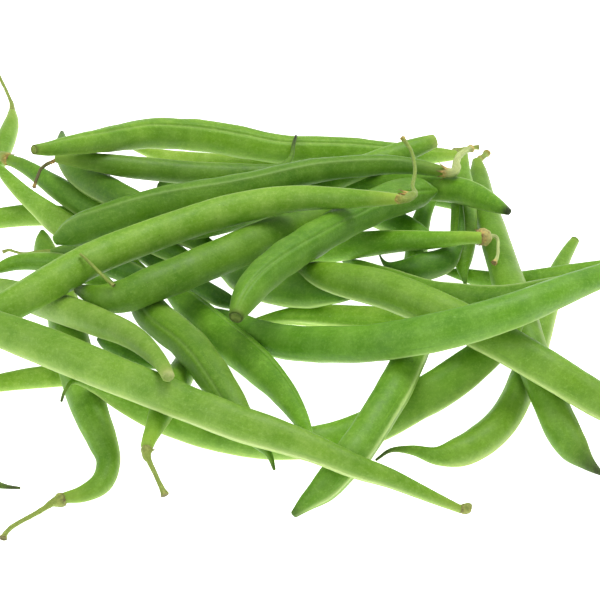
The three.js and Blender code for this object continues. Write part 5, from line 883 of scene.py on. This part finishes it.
def stem(name, rows, style, seed):
    pod_name, which, sepals, sepal_len, tone, collar, collar_at, girth, flare, kept = style
    rnd = random.Random(seed * 7 + 3)
    if pod_name:
        # the calyx grows out of the pod's end
        ends = np.array(PODS[pod_name], float)
        ends = ends[::-1] if which == 1 else ends
        inward = ends[1, :3] - ends[0, :3]
        inward /= np.linalg.norm(inward)
        r_first = min(rows[0][3], rows[0][4], 0.95 * min(ends[0, 3], ends[0, 4]))
        rows = [[*(ends[0, :3] + inward * 0.5), r_first, r_first, rows[0][5]]] + [list(r) for r in rows]
    c, a, b, roll = sampled(rows, 0.45)
    if kept < 1.0:
        few = max(6, int(len(c) * kept))
        c, a, b, roll = c[:few], a[:few], b[:few], roll[:few]
    s = lengths(c)
    total = s[-1]
    n = len(c)
    shaft = ease(s, collar_at + 0.6, collar_at + 2.6)
    a = a * (1 + (girth - 1) * shaft)
    b = b * (1 + (girth - 1) * shaft)
    if collar:
        ball = collar * np.sqrt(np.clip(1 - ((s - collar_at) / (0.95 * collar)) ** 2, 0, 1))
        a = np.maximum(np.minimum(a, collar), ball)
        b = np.maximum(np.minimum(b, collar), ball)
    a = a + flare * bell(total - s, 0.8)
    b = b + flare * bell(total - s, 0.8)
    t, wide, thick = sweep_frame(c, roll)
    sides = 22
    ang = np.radians(np.linspace(0, 360, sides, endpoint=False))
    lobes = rnd.choice((5, 6))
    off = Vector((rnd.uniform(-9, 9), rnd.uniform(-9, 9), rnd.uniform(-9, 9)))
    verts, faces = [], []
    marks = {"mark": [], "len": [], "seed": []}
    r0 = float(np.max(a[: max(3, n // 3)]))
    for i in range(n):
        rib = 0.10 if a[i] < 0.75 * r0 or not sepals else 0.05
        for k in range(sides):
            q = ang[k] + s[i] * 0.05
            f = 1 + rib * math.cos(lobes * q)
            p = c[i] + wide[i] * a[i] * f * math.cos(ang[k]) + thick[i] * b[i] * f * math.sin(ang[k])
            crumpled = float(bell(s[i] - collar_at, 1.6)) if collar > 2 else 0.0
            w = noise.noise(Vector(p / 1.6) + off) * 0.14 * min(1, a[i]) + noise.noise(Vector(p / 0.55) + off) * (0.05 + 0.55 * crumpled)
            p = p + (wide[i] * math.cos(ang[k]) + thick[i] * math.sin(ang[k])) * w
            verts.append((p[0] * MM, p[1] * MM, max(p[2], 0.02) * MM))
            calyx = float(bell(s[i], 2.0)) if sepals else 0.0
            tip = float(bell(total - s[i], 1.1))
            marks["mark"].append(max(calyx, tip * 0.8, crumpled * (0.55 + 0.9 * w)))
            marks["len"].append(s[i])
            marks["seed"].append(ang[k] * a[i])
    for i in range(n - 1):
        for k in range(sides):
            k2 = (k + 1) % sides
            faces.append((i * sides + k, i * sides + k2, (i + 1) * sides + k2, (i + 1) * sides + k))
    for i, sign in ((0, -1), (n - 1, 1)):
        prev = i * sides
        base = np.array(verts[i * sides:(i + 1) * sides]) / MM
        plan = ((0.93, 0.10), (0.75, 0.14), (0.45, 0.02)) if sign > 0 else ((0.9, 0.12), (0.6, 0.2), (0.3, 0.24))
        for kf, o in plan:
            first = len(verts)
            for k in range(sides):
                v = c[i] + (base[k] - c[i]) * kf + t[i] * sign * o * min(1.0, a[i])
                verts.append((v[0] * MM, v[1] * MM, max(v[2], 0.02) * MM))
                marks["mark"].append(1.0)
                marks["len"].append(s[i])
                marks["seed"].append(ang[k] * a[i] * kf)
            for k in range(sides):
                k2 = (k + 1) % sides
                f = (prev + k, prev + k2, first + k2, first + k)
                faces.append(f if sign > 0 else f[::-1])
            prev = first
        v = c[i] + t[i] * sign * (0.0 if sign > 0 else 0.25 * a[i])
        verts.append((v[0] * MM, v[1] * MM, max(v[2], 0.02) * MM))
        marks["mark"].append(1.0)
        marks["len"].append(s[i])
        marks["seed"].append(0.0)
        for k in range(sides):
            f = (prev + k, prev + (k + 1) % sides, len(verts) - 1)
            faces.append(f if sign > 0 else f[::-1])
    # sepals reach back over the pod's end
    if sepals:
        rows_p = np.array(PODS[pod_name], float)
        if which == 1:
            rows_p = rows_p[::-1]
        end_c = rows_p[0, :3]
        back = rows_p[1, :3] - rows_p[0, :3]
        back /= np.linalg.norm(back)
        i0 = int(np.argmax(a[: max(3, n // 3)]))
        base_c = c[i0]
        base_r = a[i0] * 0.86
        grow = (rows_p[1, 3] - rows_p[0, 3]) / max(np.linalg.norm(rows_p[1, :3] - rows_p[0, :3]), 0.1)
        u = np.cross(back, np.array([0.3, 0.2, 0.93]))
        u /= np.linalg.norm(u)
        w = np.cross(back, u)
        gap = float(np.dot(end_c - base_c, back))
        turn0 = rnd.uniform(0, 360)
        for j in range(sepals):
            q = math.radians(turn0 + 360.0 / sepals * j + rnd.uniform(-14, 14))
            out = u * math.cos(q) + w * math.sin(q)
            across = np.cross(out, back)
            ln = sepal_len * rnd.uniform(0.75, 1.2) + max(gap, 0) * 0.6
            r_end = rows_p[0, 3] + grow * max(ln - gap, 0)
            lift = min(max(r_end + 0.12 - base_r, 0.03), 0.7)
            blade(base_c + out * base_r, out, back, across, ln, rnd.uniform(1.1, 1.6) * base_r / 1.7, lift,
                  rnd.uniform(-0.05, 0.28 if sepals < 7 else 0.6), verts, faces, marks, 0.75)
    if tone == "fresh":
        marks["mark"] = [m * 0.30 for m in marks["mark"]]
    attrs = {"mark": marks["mark"], "along": marks["len"], "arc": marks["seed"],
             "tone": np.full(len(verts), {"pale": -0.5, "olive": 0.0, "yellow": 0.5, "fresh": -1.0, "brown": 1.0}[tone]),
             "pick": np.full(len(verts), rnd.uniform(0, 50))}
    ob = mesh_object("stalk_" + name[5:], verts, faces, attrs, STEM_MATERIAL)
    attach(ob, "root")
    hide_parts(name)
    return ob


# ---------------------------------------------------------------- materials
def lin(r, g, b):
    def one(v):
        v /= 255.0
        return v / 12.92 if v <= 0.04045 else ((v + 0.055) / 1.055) ** 2.4
    return (one(r), one(g), one(b), 1.0)


class Nodes:
    def __init__(self, name):
        self.mat = bpy.data.materials.new(name)
        self.mat.use_nodes = True
        self.t = self.mat.node_tree
        self.t.nodes.clear()

    def add(self, kind, **settings):
        n = self.t.nodes.new(kind)
        for k, v in settings.items():
            setattr(n, k, v)
        return n

    def link(self, a, b):
        self.t.links.new(a, b)

    def attr(self, name):
        n = self.add("ShaderNodeAttribute", attribute_name=name)
        return n.outputs["Fac"]

    def math(self, op, a, b=None, c=None, clamp=False):
        n = self.add("ShaderNodeMath", operation=op, use_clamp=clamp)
        for i, v in enumerate((a, b, c)):
            if v is None:
                continue
            if hasattr(v, "is_output"):
                self.link(v, n.inputs[i])
            else:
                n.inputs[i].default_value = v
        return n.outputs[0]

    def mix(self, fac, a, b, blend="MIX"):
        n = self.add("ShaderNodeMix", data_type="RGBA", blend_type=blend)
        n.clamp_factor = True
        for sock, v in ((n.inputs[0], fac), (n.inputs[6], a), (n.inputs[7], b)):
            if hasattr(v, "is_output"):
                self.link(v, sock)
            else:
                sock.default_value = v
        return n.outputs[2]

    def noise(self, vec, scale, detail=3.0, rough=0.5, distortion=0.0):
        n = self.add("ShaderNodeTexNoise")
        self.link(vec, n.inputs["Vector"])
        n.inputs["Scale"].default_value = scale
        n.inputs["Detail"].default_value = detail
        n.inputs["Roughness"].default_value = rough
        n.inputs["Distortion"].default_value = distortion
        return n.outputs["Fac"]

    def range(self, v, lo, hi, to_lo=0.0, to_hi=1.0):
        n = self.add("ShaderNodeMapRange")
        n.interpolation_type = "SMOOTHSTEP"
        self.link(v, n.inputs["Value"])
        for key, val in (("From Min", lo), ("From Max", hi), ("To Min", to_lo), ("To Max", to_hi)):
            n.inputs[key].default_value = val
        return n.outputs["Result"]

    def combine(self, x, y, z):
        n = self.add("ShaderNodeCombineXYZ")
        for i, v in enumerate((x, y, z)):
            if hasattr(v, "is_output"):
                self.link(v, n.inputs[i])
            else:
                n.inputs[i].default_value = v
        return n.outputs[0]


def pod_material(name, low, high, seam_c, neck_c, tail_c):
    """Waxy pod skin: mottled green, fibres along the pod, paler seams, brown cut ends, fine pores."""
    N = Nodes(name)
    coord = N.add("ShaderNodeTexCoord").outputs["Object"]
    along, arc, pick = N.attr("along"), N.attr("arc"), N.attr("pick")
    own = N.combine(N.math("ADD", along, N.math("MULTIPLY", pick, 7.0)), arc, pick)     # mm over the skin
    fibre_at = N.combine(N.math("MULTIPLY", N.math("ADD", along, N.math("MULTIPLY", pick, 7.0)), 0.09), arc, pick)
    cloud = N.noise(own, 0.075, 3.0, 0.55)
    mott = N.noise(coord, 420.0, 4.0, 0.6)
    fibre = N.noise(fibre_at, 1.5, 4.0, 0.6)
    fine_fibre = N.noise(fibre_at, 5.5, 3.0, 0.55)
    blotch = N.noise(own, 0.28, 2.0, 0.5, 0.6)

    col = N.mix(N.range(cloud, 0.30, 0.70), low, high)
    grain = N.noise(coord, 1150.0, 3.0, 0.7)
    speckle = N.noise(coord, 2600.0, 2.0, 0.6)
    col = N.mix(N.range(mott, 0.38, 0.68, 0.0, 0.38), col, N.mix(0.25, high, seam_c))
    col = N.mix(N.range(grain, 0.56, 0.36, 0.0, 0.34), col, low)
    col = N.mix(N.range(grain, 0.52, 0.72, 0.0, 0.17), col, seam_c)
    col = N.mix(N.range(speckle, 0.56, 0.74, 0.0, 0.17), col, seam_c)
    col = N.mix(N.range(speckle, 0.44, 0.28, 0.0, 0.24), col, lin(48, 92, 18))
    col = N.mix(N.range(fibre, 0.48, 0.78, 0.0, 0.20), col, N.mix(0.45, high, seam_c))
    col = N.mix(N.range(fine_fibre, 0.50, 0.20, 0.0, 0.13), col, low)
    col = N.mix(N.range(blotch, 0.56, 0.74, 0.0, 0.26), col, low)
    # seeds show as slightly paler swellings
    col = N.mix(N.math("MULTIPLY", N.attr("lump"), 0.16), col, seam_c)
    # short pale scuffs in the wax
    scuff_at = N.combine(N.math("MULTIPLY", along, 0.35), N.math("MULTIPLY", arc, 1.0), pick)
    vor = N.add("ShaderNodeTexVoronoi", feature="F1", distance="EUCLIDEAN")
    N.link(scuff_at, vor.inputs["Vector"])
    vor.inputs["Scale"].default_value = 0.85
    vor.inputs["Randomness"].default_value = 1.0
    scuff = N.math("MULTIPLY", N.range(vor.outputs["Distance"], 0.16, 0.02), N.range(N.noise(own, 0.6, 1.0), 0.55, 0.70))
    col = N.mix(N.math("MULTIPLY", scuff, 0.40), col, lin(186, 208, 140))
    # small dark specks
    spk = N.add("ShaderNodeTexVoronoi", feature="F1")
    N.link(own, spk.inputs["Vector"])
    spk.inputs["Scale"].default_value = 0.55
    speck = N.math("MULTIPLY", N.range(spk.outputs["Distance"], 0.13, 0.05), N.range(N.noise(own, 0.21, 0.0), 0.60, 0.66))
    col = N.mix(N.math("MULTIPLY", speck, 0.45), col, lin(74, 84, 30))
    # painted light: one flank of each pod is painted paler, standing in for light bounced up from the white floor and
    # shining through the skin
    col = N.mix(N.math("MULTIPLY", N.attr("painted_glow"), N.range(mott, 0.2, 0.8, 0.65, 1.0)), col, lin(204, 222, 132))
    # seams, neck, tail and cut ends
    seam_line = N.mix(0.45, seam_c, lin(222, 234, 172))
    wear = N.range(fine_fibre, 0.25, 0.75, 0.55, 1.0)
    col = N.mix(N.math("MULTIPLY", N.math("MULTIPLY", N.attr("seam"), wear), 0.85), col, seam_line)
    col = N.mix(N.math("MULTIPLY", N.attr("neck"), 0.50), col, neck_c)
    tail = N.math("MULTIPLY", N.attr("tail"), N.range(fibre, 0.2, 0.8, 0.75, 1.1), clamp=True)
    col = N.mix(tail, col, tail_c)
    cut = N.attr("cut")
    cut_c = N.mix(N.range(mott, 0.35, 0.65), lin(82, 98, 32), lin(138, 152, 76))
    cut_c = N.mix(N.math("MULTIPLY", N.attr("rim"), 0.75), cut_c, lin(58, 70, 22))
    cut_c = N.mix(N.attr("open"), cut_c, N.mix(N.range(mott, 0.35, 0.65), lin(148, 168, 88), lin(192, 198, 130)))
    col = N.mix(N.math("MULTIPLY", cut, N.range(mott, 0.2, 0.6, 0.75, 1.0)), col, cut_c)
    # each pod's own tint, and its lightness: partly the pod's own tone, partly painted light and shade set pod by pod
    hsv = N.add("ShaderNodeHueSaturation")
    N.link(N.math("ADD", N.attr("hue"), 0.5), hsv.inputs["Hue"])
    hsv.inputs["Saturation"].default_value = 1.02
    N.link(N.math("MULTIPLY", N.math("ADD", N.attr("light"), 1.0), 1.03), hsv.inputs["Value"])
    N.link(col, hsv.inputs["Color"])
    col = hsv.outputs["Color"]

    bsdf = N.add("ShaderNodeBsdfPrincipled")
    out = N.add("ShaderNodeOutputMaterial")
    N.link(bsdf.outputs[0], out.inputs[0])
    N.link(col, bsdf.inputs["Base Color"])
    rough = N.math("ADD", N.range(mott, 0.3, 0.7, 0.44, 0.60), N.math("MULTIPLY", cut, 0.35))
    rough = N.math("ADD", rough, N.math("MULTIPLY", scuff, 0.15))
    N.link(rough, bsdf.inputs["Roughness"])
    bsdf.inputs["IOR"].default_value = 1.37
    bsdf.inputs["Subsurface Weight"].default_value = SSS_WEIGHT
    bsdf.inputs["Subsurface Radius"].default_value = (0.8, 1.0, 0.35)
    bsdf.inputs["Subsurface Scale"].default_value = 0.0022
    bsdf.inputs["Coat Weight"].default_value = 0.05
    bsdf.inputs["Coat Roughness"].default_value = 0.34
    bsdf.inputs["Sheen Weight"].default_value = 0.03
    bsdf.inputs["Sheen Roughness"].default_value = 0.45
    bsdf.inputs["Sheen Tint"].default_value = (0.80, 0.95, 0.55, 1.0)
    # relief: pores, fibres, scuffs
    pore = N.noise(coord, 1900.0, 3.0, 0.6)
    height = N.math("MULTIPLY", pore, 0.55)
    height = N.math("ADD", height, N.math("MULTIPLY", fine_fibre, 0.35))
    height = N.math("ADD", height, N.math("MULTIPLY", fibre, 0.35))
    height = N.math("ADD", height, N.math("MULTIPLY", mott, 0.60))
    height = N.math("ADD", height, N.math("MULTIPLY", grain, 0.55))
    height = N.math("SUBTRACT", height, N.math("MULTIPLY", scuff, 0.4))
    height = N.math("ADD", height, N.math("MULTIPLY", N.math("MULTIPLY", cut, N.noise(coord, 1300.0, 2.0)), 1.6))
    bump = N.add("ShaderNodeBump")
    bump.inputs["Strength"].default_value = 0.50
    bump.inputs["Distance"].default_value = 0.00016
    N.link(height, bump.inputs["Height"])
    N.link(bump.outputs[0], bsdf.inputs["Normal"])
    return N.mat


def stem_material():
    """Dry fibrous stalk: olive to yellow, brown at the calyx and at the broken end."""
    N = Nodes("stalk skin")
    coord = N.add("ShaderNodeTexCoord").outputs["Object"]
    along, arc, pick, mark = N.attr("along"), N.attr("arc"), N.attr("pick"), N.attr("mark")
    fibre_at = N.combine(N.math("MULTIPLY", N.math("ADD", along, pick), 0.22), N.math("MULTIPLY", arc, 1.0), pick)
    fibre = N.noise(fibre_at, 2.4, 4.0, 0.65)
    mott = N.noise(coord, 900.0, 3.0, 0.6)
    tone = N.attr("tone")
    base = N.mix(N.range(tone, -1.0, -0.5), lin(196, 184, 60), lin(188, 204, 130))
    base = N.mix(N.range(tone, -0.5, 0.0), base, lin(136, 158, 60))
    base = N.mix(N.range(tone, 0.0, 0.5), base, lin(132, 158, 60))
    base = N.mix(N.range(tone, 0.5, 1.0), base, lin(82, 74, 32))
    col = N.mix(N.range(fibre, 0.35, 0.70), N.mix(0.35, base, lin(90, 88, 36)), base)
    col = N.mix(N.range(mott, 0.50, 0.75, 0.0, 0.35), col, lin(186, 198, 122))
    olive_dry = N.mix(N.range(mott, 0.35, 0.65), lin(98, 98, 46), lin(168, 166, 92))
    orange_dry = N.mix(N.range(mott, 0.35, 0.65), lin(138, 88, 30), lin(212, 170, 92))
    brown = N.mix(N.range(N.math("ABSOLUTE", tone), 0.0, 0.5), olive_dry, orange_dry)
    col = N.mix(N.math("MULTIPLY", mark, N.range(fibre, 0.25, 0.7, 0.45, 1.0), clamp=True), col, brown)
    col = N.mix(N.range(mark, 0.84, 1.10, 0.0, 0.80), col, lin(82, 60, 36))
    bsdf = N.add("ShaderNodeBsdfPrincipled")
    out = N.add("ShaderNodeOutputMaterial")
    N.link(bsdf.outputs[0], out.inputs[0])
    N.link(col, bsdf.inputs["Base Color"])
    N.link(N.range(mott, 0.3, 0.7, 0.55, 0.78), bsdf.inputs["Roughness"])
    bsdf.inputs["Subsurface Weight"].default_value = 0.06
    bsdf.inputs["Subsurface Radius"].default_value = (0.6, 0.7, 0.3)
    bsdf.inputs["Subsurface Scale"].default_value = 0.0012
    height = N.math("ADD", N.math("MULTIPLY", fibre, 1.0), N.math("MULTIPLY", mott, 0.6))
    bump = N.add("ShaderNodeBump")
    bump.inputs["Strength"].default_value = 0.6
    bump.inputs["Distance"].default_value = 0.00022
    N.link(height, bump.inputs["Height"])
    N.link(bump.outputs[0], bsdf.inputs["Normal"])
    return N.mat


SSS_WEIGHT = 0.16
SEAM = lin(172, 206, 108)
# Copies of one skin in lighter and darker greens, given to pods by how lit they look: the dark and deep skins sit
# mostly on pods lying low or hidden in the heap and hold painted shade over the pods' own darker green.
POD_MATERIALS = {
    "pod_skin_dark": pod_material("pod skin dark", lin(50, 94, 16), lin(70, 118, 24), lin(130, 172, 70), lin(100, 130, 44), lin(34, 46, 20)),
    "pod_skin_deep": pod_material("pod skin deep", lin(70, 118, 18), lin(92, 142, 28), lin(156, 194, 88), lin(124, 154, 54), lin(38, 52, 22)),
    "pod_skin_mid": pod_material("pod skin mid", lin(84, 132, 20), lin(108, 154, 34), SEAM, lin(148, 174, 68), lin(48, 58, 24)),
    "pod_skin_light": pod_material("pod skin light", lin(98, 146, 26), lin(124, 168, 46), lin(188, 214, 124), lin(166, 186, 78), lin(64, 74, 30)),
    "pod_skin_pale": pod_material("pod skin pale", lin(120, 160, 40), lin(150, 184, 68), lin(204, 222, 142), lin(188, 194, 98), lin(90, 96, 40)),
}
STEM_MATERIAL = stem_material()

# ---------------------------------------------------------------- build
for i, (name, rows) in enumerate(PODS.items()):
    pod(name, rows, STYLE[name], 100 + i)
for i, (name, rows) in enumerate(STEMS.items()):
    stem(name, rows, STEM_STYLE[name], 300 + i)

# ---------------------------------------------------------------- floor, light, camera
FLOOR_GLOW = 1.15
me = bpy.data.meshes.new("floor")
g = 4.0
me.from_pydata([(-g, -g, 0), (g, -g, 0), (g, g, 0), (-g, g, 0)], [], [(0, 1, 2, 3)])
floor = bpy.data.objects.new("floor", me)
bpy.context.scene.collection.objects.link(floor)
F = Nodes("floor white")
fb = F.add("ShaderNodeBsdfPrincipled")
fo = F.add("ShaderNodeOutputMaterial")
F.link(fb.outputs[0], fo.inputs[0])
fb.inputs["Base Color"].default_value = (0.88, 0.89, 0.88, 1)
fb.inputs["Roughness"].default_value = 0.75
fb.inputs["Specular IOR Level"].default_value = 0.2
fb.inputs["Emission Color"].default_value = (1.0, 1.0, 0.99, 1)
fb.inputs["Emission Strength"].default_value = FLOOR_GLOW
me.materials.append(F.mat)

scene = bpy.context.scene
world = bpy.data.worlds.new("studio")
scene.world = world
world.use_nodes = True
bg = world.node_tree.nodes["Background"]
bg.inputs[0].default_value = (0.97, 0.985, 0.97, 1)
bg.inputs[1].default_value = 0.52


def area(name, at, target, size, power, colour=(1, 1, 1)):
    data = bpy.data.lights.new(name, "AREA")
    data.shape = "DISK"
    data.size = size
    data.energy = power
    data.color = colour
    ob = bpy.data.objects.new(name, data)
    ob.location = at
    ob.rotation_mode = "QUATERNION"
    ob.rotation_quaternion = (Vector(target) - Vector(at)).to_track_quat("-Z", "Y")
    scene.collection.objects.link(ob)
    return ob


area("key", (0.28, 0.30, 0.95), (0, 0, 0), 0.55, 7.6, (1.0, 0.985, 0.93))
area("fill", (-0.55, -0.45, 0.7), (0, 0, 0), 0.8, 3.0, (0.95, 0.98, 1.0))

cam_data = bpy.data.cameras.new("camera")
cam_data.lens = LENS_MM
cam_data.sensor_width = 36.0
cam_data.sensor_fit = "HORIZONTAL"
cam_data.clip_start = 0.01
cam_data.clip_end = 20.0
cam = bpy.data.objects.new("camera", cam_data)
cam.location = [v * MM for v in CAMERA_AT]
look = Vector(LOOK_AT) * MM
cam.rotation_mode = "QUATERNION"
cam.rotation_quaternion = (look - Vector(cam.location)).to_track_quat("-Z", "Y")
scene.collection.objects.link(cam)
scene.camera = cam

scene.view_settings.view_transform = "Standard"
scene.view_settings.look = "None"
scene.view_settings.exposure = 0.0
